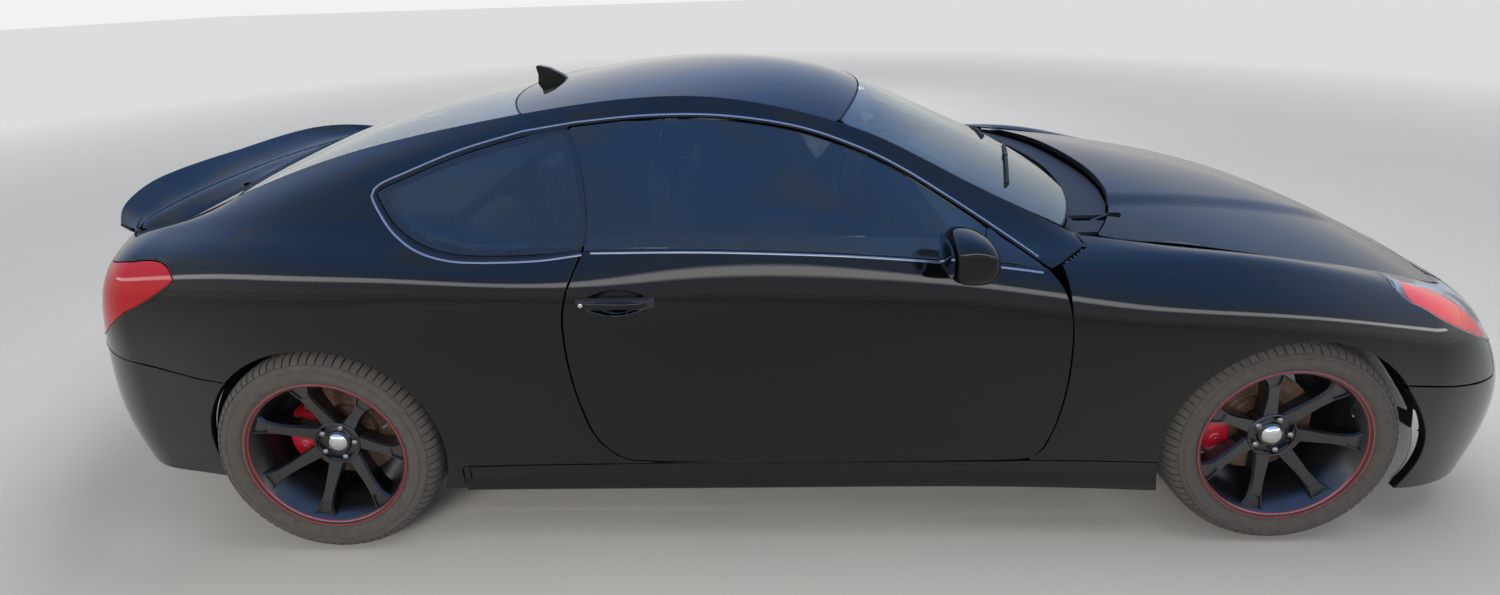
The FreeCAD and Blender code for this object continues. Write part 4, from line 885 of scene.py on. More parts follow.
def gridPart(rings, material, loopAlong=False, loopRound=True, caps=False, flip=None):
    # skin over rows of points; two points in one place make a sharp edge
    rings = np.asarray(rings, float)
    count, size = rings.shape[:2]
    verts = rings.reshape(-1, 3)
    faces = []
    for i in range(count if loopAlong else count - 1):
        for j in range(size if loopRound else size - 1):
            face = (i * size + j, i * size + (j + 1) % size, ((i + 1) % count) * size + (j + 1) % size,
                    ((i + 1) % count) * size + j)
            corners = verts[list(face)]
            if np.linalg.norm(np.cross(corners[2] - corners[0], corners[3] - corners[1])) > 1e-5:
                faces.append(face)
    if caps:
        for i, order in ((0, -1), (count - 1, 1)):
            start = len(verts)
            verts = np.vstack([verts, rings[i], rings[i].mean(axis=0)[None]])
            faces += [tuple([start + j, start + (j + 1) % size, start + size][::order]) for j in range(size)]
    centre = verts.mean(axis=0)
    if flip is None:
        volume = sum(np.dot(verts[f[0]] - centre, np.cross(verts[f[k]] - centre, verts[f[k + 1]] - centre))
                     for f in faces for k in range(1, len(f) - 1))
        flip = volume < 0
    if flip:
        faces = [tuple(reversed(face)) for face in faces]
    return meshPart(verts, faces, material, flat=False)


def frameFor(axis):
    axis = np.array(axis, float) / np.linalg.norm(axis)
    side = np.cross(axis, (0.0, 0.0, 1.0) if abs(axis[2]) < 0.9 else (1.0, 0.0, 0.0))
    side /= np.linalg.norm(side)
    return axis, side, np.cross(axis, side)


def lathePart(centre, axis, profile, material, count=96, flip=None, closed=True):
    # profile: (radius, distance along the axis)
    along, side, up = frameFor(axis)
    angles = np.linspace(0, 2 * math.pi, count, endpoint=False)
    spokes = np.cos(angles)[:, None] * side + np.sin(angles)[:, None] * up
    profile = np.asarray(profile, float)
    rings = (np.array(centre, float) + profile[None, :, 1, None] * along
             + profile[None, :, 0, None] * spokes[:, None, :])
    return gridPart(rings, material, loopAlong=True, loopRound=closed, flip=flip)


def sweepPart(points, ups, section, material, closed=False, caps=True):
    # carries a section of (across, up) points along a line
    points, ups = np.asarray(points, float), np.asarray(ups, float)
    if closed:
        along = np.roll(points, -1, axis=0) - np.roll(points, 1, axis=0)
    else:
        along = np.gradient(points, axis=0)
    along /= np.maximum(np.linalg.norm(along, axis=1), 1e-9)[:, None]
    ups = np.broadcast_to(ups, points.shape)
    across = np.cross(along, ups)
    across /= np.maximum(np.linalg.norm(across, axis=1), 1e-9)[:, None]
    up = np.cross(across, along)
    section = np.asarray(section, float)
    rings = (points[:, None] + section[None, :, 0, None] * across[:, None]
             + section[None, :, 1, None] * up[:, None])
    return gridPart(rings, material, loopAlong=closed, caps=caps and not closed)


def stripOnSkin(surface, uv, width, height, material, closed=False):
    # a half-round trim strip lying on a surface along a line in its own coordinates
    half = width / 2
    section = [(-half, -1.0), (-half, height * 0.5), (-half * 0.6, height), (half * 0.6, height),
               (half, height * 0.5), (half, -1.0)]
    return sweepPart(surface(uv), surfaceNormals(surface, uv), section, material, closed)


def movedPart(part, shift):
    return {**part, "verts": part["verts"] + np.asarray(shift, float)}


def repeatedRing(part, count):
    # evenly turned copies of a part about the Y axis, made by one node tree
    mesh = bpy.data.meshes.new("ringSource")
    mesh.from_pydata((part["verts"] / 1000.0).tolist(), [], part["faces"])
    source = bpy.data.objects.new("ringSource", mesh)
    bpy.context.scene.collection.objects.link(source)
    modifier = source.modifiers.new("ring", "NODES")
    modifier.node_group = ringTree
    sockets = {item.name: item.identifier for item in ringTree.interface.items_tree if item.in_out == "INPUT"}
    modifier[sockets["Count"]] = count
    modifier[sockets["Turn"]] = 2 * math.pi / count
    modifier[sockets["Material"]] = materials[part["material"]]
    made = bpy.data.meshes.new_from_object(source.evaluated_get(bpy.context.evaluated_depsgraph_get()))
    verts = np.empty(len(made.vertices) * 3)
    made.vertices.foreach_get("co", verts)
    faces = [tuple(polygon.vertices) for polygon in made.polygons]
    normals = []
    for angle in (2 * math.pi * k / count for k in range(count)):
        turn = np.array([[math.cos(angle), 0, math.sin(angle)], [0, 1, 0],
                         [-math.sin(angle), 0, math.cos(angle)]])
        normals.append(part["normals"] @ turn.T)
    bpy.data.objects.remove(source)
    return {"verts": verts.reshape(-1, 3) * 1000.0, "faces": faces, "normals": np.vstack(normals),
            "material": part["material"]}


ringTree = bpy.data.node_groups.new("copiesRoundAxle", "GeometryNodeTree")
ringSockets = {"Geometry": "Geometry", "Count": "Int", "Turn": "Float", "Material": "Material"}
for socketName, kind in ringSockets.items():
    ringTree.interface.new_socket(socketName, in_out="INPUT", socket_type="NodeSocket" + kind)
ringTree.interface.new_socket("Geometry", in_out="OUTPUT", socket_type="NodeSocketGeometry")
ringInput = addNode(ringTree, "NodeGroupInput")
ringWhole = addNode(ringTree, "GeometryNodeGeometryToInstance", None, {0: ringInput.outputs["Geometry"]})
ringCopies = addNode(ringTree, "GeometryNodeDuplicateElements", {"domain": "INSTANCE"},
                     {0: ringWhole.outputs[0], "Amount": ringInput.outputs["Count"]})
ringAngle = twoInputs(ringTree, "MULTIPLY", ringCopies.outputs["Duplicate Index"], ringInput.outputs["Turn"])
ringTurn = addNode(ringTree, "ShaderNodeCombineXYZ", None, {"Y": ringAngle})
ringTurned = addNode(ringTree, "GeometryNodeRotateInstances", {"Local Space": False},
                     {"Instances": ringCopies.outputs[0], "Rotation": ringTurn.outputs[0]})
ringReal = addNode(ringTree, "GeometryNodeRealizeInstances", None, {0: ringTurned.outputs[0]})
ringPainted = addNode(ringTree, "GeometryNodeSetMaterial", None,
                      {"Geometry": ringReal.outputs[0], "Material": ringInput.outputs["Material"]})
addNode(ringTree, "NodeGroupOutput", None, {0: ringPainted.outputs[0]})


gap = bodyShape["shutGap"]
skinCabin, skinFront = skinSurface("cabin"), skinSurface("front")
sides = (("right", False), ("left", True))


def onBothSides(parts):
    return parts + [mirroredPart(part) for part in parts]


def sided(parts, flip):
    return [mirroredPart(part) for part in parts] if flip else parts


def buildSides(name, parts, body, node=None, carried=None):
    # the right-hand piece and its mirror image; carried: finish and face test for the node's own triangles
    for sideName, flip in sides:
        made = sided(parts, flip)
        if carried:
            made = made + [cadPart(node + sideName, *carried)]
        buildPiece(name + sideName, made, body + sideName if body.endswith("_") else body,
                   [node + sideName] if node else ())


def buildAcross(name, parts, node, isOuter):
    # one painted piece that reaches across the car, with its solid's own triangles behind the skin
    inner = cadPart(node, "lacqueredBlackPaint", isOuter)
    buildPiece(name, onBothSides(parts) + [inner], "body", [node])


# Doors
handle = {
    "recessCentre": (-451.0, 810.0), "recessHalf": (98.0, 37.0), "recessDepth": 26.0,
    "fineX": (-562, -340), "fineZ": (765, 855), "fineStep": 4.0,
    "barHeight": 812.0,
    "barPlan": [(-556, -884), (-540, -898), (-500, -905), (-400, -907), (-362, -899), (-346, -884)],
    "barSection": [(-6, -9), (-8, -4), (-8, 5), (-5, 10), (0, 12), (5, 9), (6, 3), (6, -5), (3, -10)],
    "lockPlace": (-548, -893, 812), "lockProfile": [(0, 12), (6, 11.5), (7, 10), (7, 0), (0, 0)],
}


def doorBulge(points):
    # lozenge bowl behind the handle
    dx = (points[:, 0] - handle["recessCentre"][0]) / handle["recessHalf"][0]
    dz = (points[:, 2] - handle["recessCentre"][1]) / handle["recessHalf"][1]
    shift = np.zeros_like(points)
    shift[:, 1] = handle["recessDepth"] * eased(1.25 * (1 - (np.abs(dx) ** 1.6 + np.abs(dz) ** 2.0)))
    return shift


doorLoop = joined(onSkin("cabin", smoothed(doorLines["lower"])), onSkin("cabin", smoothed(doorLines["top"])))
recessBox = onSkin("cabin", [(x, z) for z in handle["fineZ"] for x in handle["fineX"]])
doorPanel = panelPart(shaped(skinCabin, doorBulge), doorLoop, "lacqueredBlackPaint", flange=4.0,
                      fine=[(recessBox.min(axis=0), recessBox.max(axis=0), handle["fineStep"])])
handlePath = smoothed(handle["barPlan"], 6.0)
handleBar = sweepPart(np.c_[handlePath, np.full(len(handlePath), handle["barHeight"])], (0, 0, 1),
                      handle["barSection"], "lacqueredBlackPaint")
lockPlug = lathePart(handle["lockPlace"], (0, -1, 0), handle["lockProfile"], "polishedCapChrome", 24)
beltStrip = stripOnSkin(skinCabin, onSkin("cabin", offsetLine(smoothed(doorLines["top"]), 6.0)[2:-2]), 7.0,
                        2.4, "satinTrimAluminium")
buildSides("doorPanel_", [doorPanel], "door_", "door_", ("grainedTrimPlastic", onSkinFace("cabin")))
buildSides("doorHandle_", [handleBar, lockPlug], "door_")
buildSides("doorBeltTrim_", [beltStrip], "door_")
print("doors built")

# Quarter panels with roof rail and windscreen pillar
quarterSet = {
    "archSpan": (137.2, -24.0), "lampGap": 3.5, "railEnd": (-505.0, 975.0),
    "bumperSeam": [(-2150, 672), (-2050, 660), (-1888, 641), (-1700, 603), (-1618, 593)],
    "sillSeam": [(-960, 192), (-960, 280), (-440, 280)],
    "pillarFoot": [(802, 862), (835, 868), (938, 888)],
}
archRear = arc(bodyShape["rearAxle"], bodyShape["rearArch"], *quarterSet["archSpan"])
doorRear = smoothed(doorLines["lower"][:11])[::-1]
openingRear = offsetLine(doorRear, gap)
glassTop = offsetLine(smoothed(doorLines["glassTop"][1:]), gap)
tailLampTop = smoothed(lampLines["tailTop"])
tailLampBottom = smoothed(lampLines["tailBottom"])


def lampSpan(line, spread):
    # the part of a tail-lamp edge that lies outboard of the inner end, in skin coordinates
    flat = onSkin("cabin", offsetLine(line, spread), stations=lampLines["tailStations"])
    return evenLine(flat[skinCabin(flat)[:, 1] < lampLines["tailInnerY"]], 14.0, 40)


lampUpper, lampLower = (lampSpan(line, -quarterSet["lampGap"]) for line in (tailLampTop, tailLampBottom))
railEnd = onSkin("cabin", [quarterSet["railEnd"]], axes=(1, 2), stations=(0, 0.9), rows=(0.97, 1.0))[0][0]
railEnd /= skinGrid["lengthScale"]
quarterLoop = joined(
    skinLine(station(bodyShape["cowlX"]), railEnd, 1.0),
    lampUpper[::-1], lampLower[::-1][:len(lampLower) - 8],
    onSkin("cabin", resampled(quarterSet["bumperSeam"])),
    onSkin("cabin", archRear),
    onSkin("cabin", resampled(quarterSet["sillSeam"], 12.0)),
    onSkin("cabin", openingRear),
    onSkin("cabin", smoothed(doorLines["quarterTop"][::-1])),
    onSkin("cabin", glassTop),
    onSkin("cabin", resampled(quarterSet["pillarFoot"], 12.0)))
quarterPanel = panelPart(skinCabin, quarterLoop, "lacqueredBlackPaint", step=13.0)
buildSides("quarterPanel_", [quarterPanel], "body", "body_side_", ("lacqueredBlackPaint", onSkinFace("cabin")))
print("quarter panels built")

# Side glass, its black pillar strip and the bright strip round it
doorPane = grownLoop(joined(smoothed(doorLines["glassTop"]), smoothed(doorLines["top"])[1:-1]), -1.0)
quarterPane = grownLoop(smoothed(doorLines["quarterTop"][1:] + doorLines["quarterTop"][:1], closed=True), -4.0)
paneSet = {"thick": 4.0, "doorInset": 6.0, "quarterInset": 3.0, "fritInset": 2.6, "fritWidth": 17.0,
           "trimOut": 12.0, "trimWidth": 6.4, "trimHeight": 2.2, "sealOut": 6.5, "sealWidth": 4.0}
doorSlab = slabPart(setIn(skinCabin, paneSet["doorInset"]), onSkin("cabin", doorPane), "tintedSideGlass",
                    paneSet["thick"], step=30.0)
quarterSlab = slabPart(setIn(skinCabin, paneSet["quarterInset"]), onSkin("cabin", quarterPane),
                       "tintedSideGlass", paneSet["thick"], step=30.0)
quarterFrit = panelPart(setIn(skinCabin, paneSet["fritInset"]), onSkin("cabin", quarterPane),
                        "blackFritCeramic", flange=1.0, radius=0.2, step=30.0,
                        holes=[onSkin("cabin", grownLoop(quarterPane, -paneSet["fritWidth"]))])
openingLine = np.vstack([smoothed(doorLines["quarterTop"][1:][::-1], 8.0),
                         smoothed(doorLines["glassTop"][1:], 8.0)[2:-3]])
openingStrip = stripOnSkin(skinCabin, onSkin("cabin", offsetLine(openingLine, paneSet["trimOut"])),
                           paneSet["trimWidth"], paneSet["trimHeight"], "satinTrimAluminium")
sealStrip = stripOnSkin(skinCabin, onSkin("cabin", offsetLine(openingLine, paneSet["sealOut"])),
                        paneSet["sealWidth"], 1.0, "siliconeSealRubber")
buildPiece("quarterGlassPanes", onBothSides(quarterSlab + [quarterFrit]), "body", ["quarter_glass"])
buildPiece("sideOpeningTrim", onBothSides([openingStrip, sealStrip]), "body")
buildSides("doorGlassPane_", doorSlab, "door_", "door_glass_")
print("side glass built")

# Front fenders
hoodGapLoop = hoodLoop(gap)
hoodSideAt = lambda x: -(np.interp(x, planLines["hoodSide"][:, 0], planLines["hoodSide"][:, 1]) + gap)
insideHood = lambda points: insideLoop(points[:, :2], hoodGapLoop)
fenderSet = {"archSpan": (188.1, 35.0), "sillSeam": [(745, 282), (1112, 282)],
             "cowlSeam": [(948, 884), (838, 864)], "lampGap": 5.0}
archFront = arc(bodyShape["frontAxle"], bodyShape["frontArch"], *fenderSet["archSpan"])
headLamp = smoothed(lampLines["head"], 8.0, closed=True)
# where the seam between fender and bumper meets the hood
noseSeam = {"fender": 2096.0, "bumper": 2103.0}


def hoodCorner(x):
    flat = onSkin("front", [(x, hoodSideAt(x))], axes=(0, 1), stations=(1.9, 3.0), rows=(0.6, 1.0))
    return flat[0][0] / skinGrid["lengthScale"]


headLampHole = onSkin("front", grownLoop(headLamp, fenderSet["lampGap"]),
                      stations=lampLines["headStations"])
fenderTop = evenLine(rowLine("front", hoodCorner(noseSeam["fender"]), station(950), insideHood, rowFrom=0.6),
                     14.0, 10)
fenderLoop = joined(
    onSkin("front", smoothed(doorLines["fenderRear"])),
    onSkin("front", resampled(fenderSet["sillSeam"], 12.0)),
    onSkin("front", archFront),
    onSkin("front", resampled(bumperLines["fenderEdge"], 10.0)),
    fenderTop,
    onSkin("front", resampled(fenderSet["cowlSeam"], 12.0)))
fenderPanel = panelPart(skinFront, fenderLoop, "lacqueredBlackPaint", holes=[headLampHole], step=14.0,
                        flange=4.0)
buildSides("frontFender_", [fenderPanel], "body", "fender_", ("lacqueredBlackPaint", onSkinFace("front")))
print("fenders built")

# Front bumper with its lower intake and corner recesses
seamU = 3 * skinGrid["lengthScale"]
archOpening = {"extra": 62.0, "from": 34.0, "to": -27.0, "linerFrom": 70.0, "linerTo": -24.0,
               "linerY": (-560.0, -852.0), "linerOut": 5.0, "linerThick": 3.0, "ribHeight": 1.6,
               "ribPitch": 14.0}


def archRadius(degrees):
    # the bumper's edge of the wheel opening, further from the tyre towards its foot
    share = (archOpening["from"] - degrees) / (archOpening["from"] - archOpening["to"])
    return bodyShape["frontArch"] + archOpening["extra"] * eased(1.25 * share)


def openedArch(fromDegrees, toDegrees):
    degrees = np.linspace(fromDegrees, toDegrees, 48)
    x, z = bodyShape["frontAxle"]
    return np.stack([x + archRadius(degrees) * np.cos(np.radians(degrees)),
                     z + archRadius(degrees) * np.sin(np.radians(degrees))], -1)


def onBumperOutside(centres, normals):
    # the outer skin, and what the solid holds between its own arch edge and the opened one
    dx, dz = centres[:, 0] - bodyShape["frontAxle"][0], centres[:, 2] - bodyShape["frontAxle"][1]
    inArch = (np.hypot(dx, dz) < archRadius(np.degrees(np.arctan2(dz, dx))) + 6.0) & (dx > 0)
    return onSkinFace("front")(centres, normals) | (inArch & (np.abs(centres[:, 1]) > 600))


intake = onSkin("front", resampled(bumperLines["intake"], 12.0), axes=(1, 2), stations=(2.2, 3.0))
intake[0], intake[-1] = [(seamU, seamRow("front", bumperLines["intake"][end][1])) for end in (0, -1)]
intakeHole = joined(intake, [(seamU + 60, intake[-1][1])], [(seamU + 60, intake[0][1])])
fogHole = onSkin("front", smoothed(bumperLines["fogRecess"], 10.0, closed=True), axes=(1, 2),
                 stations=(2.0, 3.0))
bumperTop = evenLine(rowLine("front", 3.0, hoodCorner(noseSeam["bumper"]), insideHood, step=26.0,
                             rowFrom=0.6), 24.0, 4)
bumperLoop = joined(
    skinLine(station(1779), 3.0, 0.0, 26.0),
    np.stack([np.full(40, seamU), np.linspace(0, bumperTop[0][1], 40)], -1),
    bumperTop,
    onSkin("front", resampled(bumperLines["bumperEdge"], 10.0)),
    onSkin("front", openedArch(archOpening["from"], archOpening["to"])))
bumperPanel = panelPart(skinFront, bumperLoop, "lacqueredBlackPaint", holes=[headLampHole, intakeHole, fogHole],
                        step=22.0, seamAtCentre=True)
buildAcross("frontBumperCover", [bumperPanel], "front_bumper", onBumperOutside)
# liner sheet in front of each front wheel, made pale grey as painted light
linerRings = []
for degrees in np.linspace(archOpening["linerFrom"], archOpening["linerTo"], 40):
    angle = math.radians(degrees)
    ribs = []
    for y in np.linspace(*archOpening["linerY"], 30):
        rib = archOpening["ribHeight"] * math.sin(y / archOpening["ribPitch"])
        radius = float(archRadius(degrees)) + archOpening["linerOut"] + rib
        ribs.append((bodyShape["frontAxle"][0] + radius * math.cos(angle), y,
                     bodyShape["frontAxle"][1] + radius * math.sin(angle)))
    thick = archOpening["linerThick"]
    back = [(x + thick * math.cos(angle), y, z + thick * math.sin(angle)) for x, y, z in ribs[::-1]]
    linerRings.append(ribs + back)
buildPiece("paleLinerFronts", onBothSides([gridPart(linerRings, "linerPlasticPaintedLight", caps=True)]), "body")
print("front bumper built")

# Rear bumper, notched for the two exhaust tips
bumperEdge = np.array(sorted(bumperLines["rearTop"]), float)
overBumper = lambda points: points[:, 2] > np.interp(points[:, 0], bumperEdge[:, 0], bumperEdge[:, 1]) - 2.0
rearTop = rowLine("cabin", 0.0, station(-1619), overBumper, step=22.0)
tipY, tipZ = bumperLines["tipPlace"]
notch = onSkin("cabin", arc((tipY, tipZ), bumperLines["tipRadius"], 0, 180, 8.0), axes=(1, 2),
               stations=(0.0, 0.95))
notch[:, 1] = np.maximum(notch[:, 1], 1.0)
notchHole = joined(notch, [(notch[-1][0], -60.0)], [(notch[0][0], -60.0)])
rearBumperLoop = joined(
    np.stack([np.zeros(40), np.linspace(0, rearTop[0][1], 40)], -1), rearTop,
    onSkin("cabin", arc(bodyShape["rearAxle"], bodyShape["rearArch"], 137.0, 198.5)),
    skinLine(station(-1698), 0.0, 0.0, 22.0))
rearBumperPanel = panelPart(skinCabin, rearBumperLoop, "lacqueredBlackPaint", holes=[notchHole], step=20.0,
                            seamAtCentre=True)
buildAcross("rearBumperCover", [rearBumperPanel], "rear_bumper", onSkinFace("cabin"))
rearLiner = {"radius": 369.0, "thick": 4.0, "from": 62.0, "to": 206.0, "ys": (-560.0, -700.0, -870.0)}
rearLinerRings = []
for angle in np.radians(np.linspace(rearLiner["from"], rearLiner["to"], 60)):
    outer = rearLiner["radius"] + rearLiner["thick"]
    section = [(rearLiner["radius"], y) for y in rearLiner["ys"]]
    section += [(outer, rearLiner["ys"][-1]), (outer, rearLiner["ys"][0])]
    rearLinerRings.append([(bodyShape["rearAxle"][0] + r * math.cos(angle), y,
                            bodyShape["rearAxle"][1] + r * math.sin(angle)) for r, y in section])
buildPiece("rearLiners", onBothSides([gridPart(rearLinerRings, "grainedBlackPlastic", caps=True)]), "body")
print("rear bumper built")

# Sills, with a lip along the foot
skirt = {"lipTop": 240.0, "lipOut": 7.0, "lipBlend": 46.0, "top": [(-952, 274), (1108, 274)],
         "from": -952, "to": 1120}


def skirtBulge(points):
    shift = np.zeros_like(points)
    shift[:, 1] = -skirt["lipOut"] * eased((skirt["lipTop"] - points[:, 2]) / skirt["lipBlend"])
    return shift


sillTop = onSkin("cabin", resampled(skirt["top"], 12.0))
sillLoop = joined(skinLine(station(skirt["from"]), station(skirt["to"]), 0.0), sillTop[::-1])
sillPanel = panelPart(shaped(skinCabin, skirtBulge), sillLoop, "lacqueredBlackPaint", step=9.0)
buildAcross("sideSills", [sillPanel], "sills", onSkinFace("cabin"))
print("sills built")

# Hood, roof, screens and boot lid
hoodPanel = panelPart(upperSurface(hoodZ), hoodLoop(), "lacqueredBlackPaint", step=16.0)
inner = cadPart("hood", "lacqueredBlackPaint", onUpperFace(hoodZ))
buildPiece("hoodPanel", [hoodPanel, inner], "hood", ["hood"])


def railSide(xFrom, xTo, inset, step=14.0):
    x = np.linspace(xFrom, xTo, max(int(abs(xTo - xFrom) / step), 2))
    return np.stack([x, railY(x) - inset], axis=-1)


def between(back, front, spread, inset):
    # plan outline between two lines that cross the car, with its sides inside the rails
    back, front = back + [spread, 0], front - [spread, 0]
    back = back[np.abs(back[:, 1]) < railY(back[:, 0]) - inset]
    front = front[np.abs(front[:, 1]) < railY(front[:, 0]) - inset]
    left = railSide(back[-1][0], front[-1][0], inset)
    return joined(back, left[1:-1], front[::-1], (left[::-1] * [1, -1])[1:-1])


# gaps before and behind the roof and the screens, and at the rails beside all three
upperGaps = {"roof": 4.0, "screen": 3.0, "rail": 5.0}
roofLoop = between(planLines["roofRear"], planLines["header"], upperGaps["roof"], upperGaps["rail"])
screenLoop = between(planLines["header"], planLines["glassBase"], upperGaps["screen"], upperGaps["rail"])
rearScreenLoop = between(planLines["rearGlassBase"], planLines["roofRear"], upperGaps["screen"],
                         upperGaps["rail"])
roofSkin = upperSurface(roofZ)
roofPanel = panelPart(roofSkin, roofLoop, "lacqueredBlackPaint", step=18.0)
inner = cadPart("roof_panel", "lacqueredBlackPaint", onUpperFace(roofZ))
buildPiece("roofPanelSkin", [roofPanel, inner], "body", ["roof_panel"])


screenSet = {"thick": 4.5, "fritInset": 5.4, "sealOut": 1.5, "sealWidth": 5.0, "sealHeight": 0.6}


def framedScreen(name, loop, node, band):
    # a pane, its black border of the given width and the seal round it
    pane = slabPart(roofSkin, loop, "laminatedScreenGlass", screenSet["thick"], step=26.0)
    frit = panelPart(setIn(roofSkin, screenSet["fritInset"]), loop, "blackFritCeramic",
                     holes=[grownLoop(loop, -band)], flange=1.0, radius=0.2, step=26.0)
    seal = stripOnSkin(roofSkin, grownLoop(loop, screenSet["sealOut"]), screenSet["sealWidth"],
                       screenSet["sealHeight"], "siliconeSealRubber", closed=True)
    buildPiece(name, pane + [frit, seal], "body", [node])


framedScreen("windscreenPane", screenLoop, "windshield", 42.0)
framedScreen("rearScreenPane", rearScreenLoop, "rear_window", 46.0)

# Boot lid: deck, rear face between the lamps and the lip along its edge
lidFace = {"side": -498.0, "foot": 688.0, "top": 1000.0}
railTail = rowPoints("rail", np.linspace(station(-1766), 0.0, 120), "cabin")[:, :2]
lidSide = offsetLine(railTail, 9.0)
lidSide = lidSide[lidSide[:, 1] > 0]
lidFront = planLines["lidFront"] - [3.0, 0]
lidFront = lidFront[np.abs(lidFront[:, 1]) < lidSide[0][1]]
lidLoop = joined(lidFront, lidSide, lidSide[::-1] * [1, -1])
deckPanel = panelPart(upperSurface(deckZ), lidLoop, "lacqueredBlackPaint", step=16.0)
faceLine = onSkin("cabin", np.stack([np.full(24, lidFace["side"]),
                                     np.linspace(lidFace["foot"], lidFace["top"], 24)], -1),
                  axes=(1, 2), stations=(0, 0.9))
footRow = rowLine("cabin", 0.0, faceLine[0][0] / skinGrid["lengthScale"],
                  lambda p: p[:, 2] > lidFace["foot"], step=20.0)
skinTop = skinGrid["heightScale"]
faceLoop = joined(footRow, faceLine, [(faceLine[-1][0], skinTop)], [(0.0, skinTop)],
                  np.stack([np.zeros(20), np.linspace(skinTop - 20, footRow[0][1] + 20, 20)], -1))
facePanel = panelPart(skinCabin, faceLoop, "lacqueredBlackPaint", step=18.0, seamAtCentre=True)

spoiler = {
    # free edge (y, x, z) and depth of the lip in front of it (y, length)
    "edge": [(0, -2315, 1046), (300, -2306, 1046), (400, -2289, 1040), (500, -2252, 1025), (580, -2208, 1003),
             (643, -2146, 978)],
    "chord": [(0, 135), (400, 120), (643, 55)], "halfWidth": 643.0,
    "rootThick": 15.0, "thinning": 3.0, "noseLong": 5.5, "noseHigh": 6.0, "rootLift": 0.4,
}
edgeX = naturalSpline([(k[0], k[1]) for k in spoiler["edge"]])
edgeZ = naturalSpline([(k[0], k[2]) for k in spoiler["edge"]])
chordAt = naturalSpline(spoiler["chord"])
spoilerRings = []
for y in np.linspace(-spoiler["halfWidth"], spoiler["halfWidth"], 81):
    endX, endZ = float(edgeX(abs(y))) + spoiler["noseLong"], float(edgeZ(abs(y)))
    rootX = endX - spoiler["noseLong"] + float(chordAt(abs(y)))
    rootZ = float(deckZ(rootX, y)) + spoiler["rootLift"]
    upper = [(rootX + (endX - rootX) * share, y, rootZ + (endZ - rootZ) * share ** 1.6)
             for share in np.linspace(0, 1, 12)]
    nose = [(endX - spoiler["noseLong"] * math.sin(a), y,
             endZ - spoiler["noseHigh"] + spoiler["noseHigh"] * math.cos(a))
            for a in np.linspace(0.4, math.pi - 0.4, 5)]
    lower = [(x, y, z - spoiler["rootThick"] + spoiler["thinning"] * share) for share, (x, y, z) in
             zip(np.linspace(1, 0, 12), upper[::-1])]
    spoilerRings.append(upper + nose + lower)
spoilerPart = gridPart(spoilerRings, "lacqueredBlackPaint", caps=True)
# the solid's own lip and rear edge give way to the drawn ones
inner = cadPart("trunk_lid", "lacqueredBlackPaint", lambda centres, normals: (
    onUpperFace(deckZ)(centres, normals) | onSkinFace("cabin")(centres, normals) | (centres[:, 0] < -2190)
    | ((centres[:, 2] > deckZ(centres[:, 0], centres[:, 1]) + 1.0) & (centres[:, 0] < -1950))))
buildPiece("bootLid", [deckPanel, spoilerPart, inner] + onBothSides([facePanel]), "trunk_lid", ["trunk_lid"])
print("hood, roof, screens and lid built")
# Tail lamps: red lens, paler round lens on it, reflector behind
lampSet = {
    "roundPlace": (-2112.0, 836.0), "roundRadius": 40.0,
    "bowlInset": 48.0, "sideInset": 10.0, "projectorInset": 46.0, "sealWidth": 4.0, "sealHeight": 0.4,
    # orange-red side reflector, (x, z)
    "sideReflector": [(1836, 752), (1870, 757), (1920, 741), (1978, 722), (2018, 700), (2052, 666), (2078, 632),
                      (2092, 604), (2064, 611), (1988, 648), (1897, 694), (1850, 725), (1832, 740)],
    # projectors: x, z, radius
    "projectors": [(2112, 660, 36.0), (2030, 688, 30.0)],
}
tailUpper, tailLower = lampSpan(tailLampTop, 1.0), lampSpan(tailLampBottom, 1.0)
tailLens = panelPart(skinCabin, joined(tailUpper, tailLower), "redLampAcrylic", step=18.0, radius=1.5,
                     flange=20.0)
roundX, roundZ = lampSet["roundPlace"]
roundLine = [(roundX + lampSet["roundRadius"] * math.cos(a), roundZ + lampSet["roundRadius"] * math.sin(a))
             for a in np.linspace(0, 2 * math.pi, 16, endpoint=False)]
roundLens = panelPart(setIn(skinCabin, -2.4),
                      onSkin("cabin", smoothed(roundLine, 8.0, closed=True), stations=lampLines["tailStations"]),
                      "palePinkLampAcrylic", step=12.0, radius=1.0, flange=2.0)
tailBack = panelPart(setIn(skinCabin, 24.0), joined(tailUpper, tailLower), "aluminisedReflector", step=30.0,
                     radius=0.5, flange=3.0)
buildPiece("tailLampLenses", onBothSides([tailLens, roundLens, tailBack]), "body", ["tail_lamps"])

# Head lamps: clear cover, reflector bowl, orange-red side reflector and two projectors with bright rims
lensLoop = onSkin("front", grownLoop(headLamp, -1.0), stations=lampLines["headStations"])
hoodShadow = rowLine("front", 3.0, station(1700), insideHood, step=20.0, rowFrom=0.6)
hoodShadowLoop = joined(hoodShadow, [(hoodShadow[-1][0], 1260.0)], [(hoodShadow[0][0], 1260.0)])
lensCover = panelPart(skinFront, lensLoop, "clearLampPolycarbonate", holes=[hoodShadowLoop], step=16.0,
                      radius=1.0, flange=3.0)
lampBowl = panelPart(setIn(skinFront, lampSet["bowlInset"]), lensLoop, "aluminisedReflector", step=24.0,
                     radius=0.5, flange=-44.0)
sideLine = onSkin("front", smoothed(lampSet["sideReflector"], 8.0, closed=True),
                  stations=lampLines["headStations"])
sideReflector = panelPart(setIn(skinFront, lampSet["sideInset"]), sideLine, "amberLampAcrylic", step=16.0,
                          radius=1.0, flange=10.0)
lampInner = [lampBowl, sideReflector]
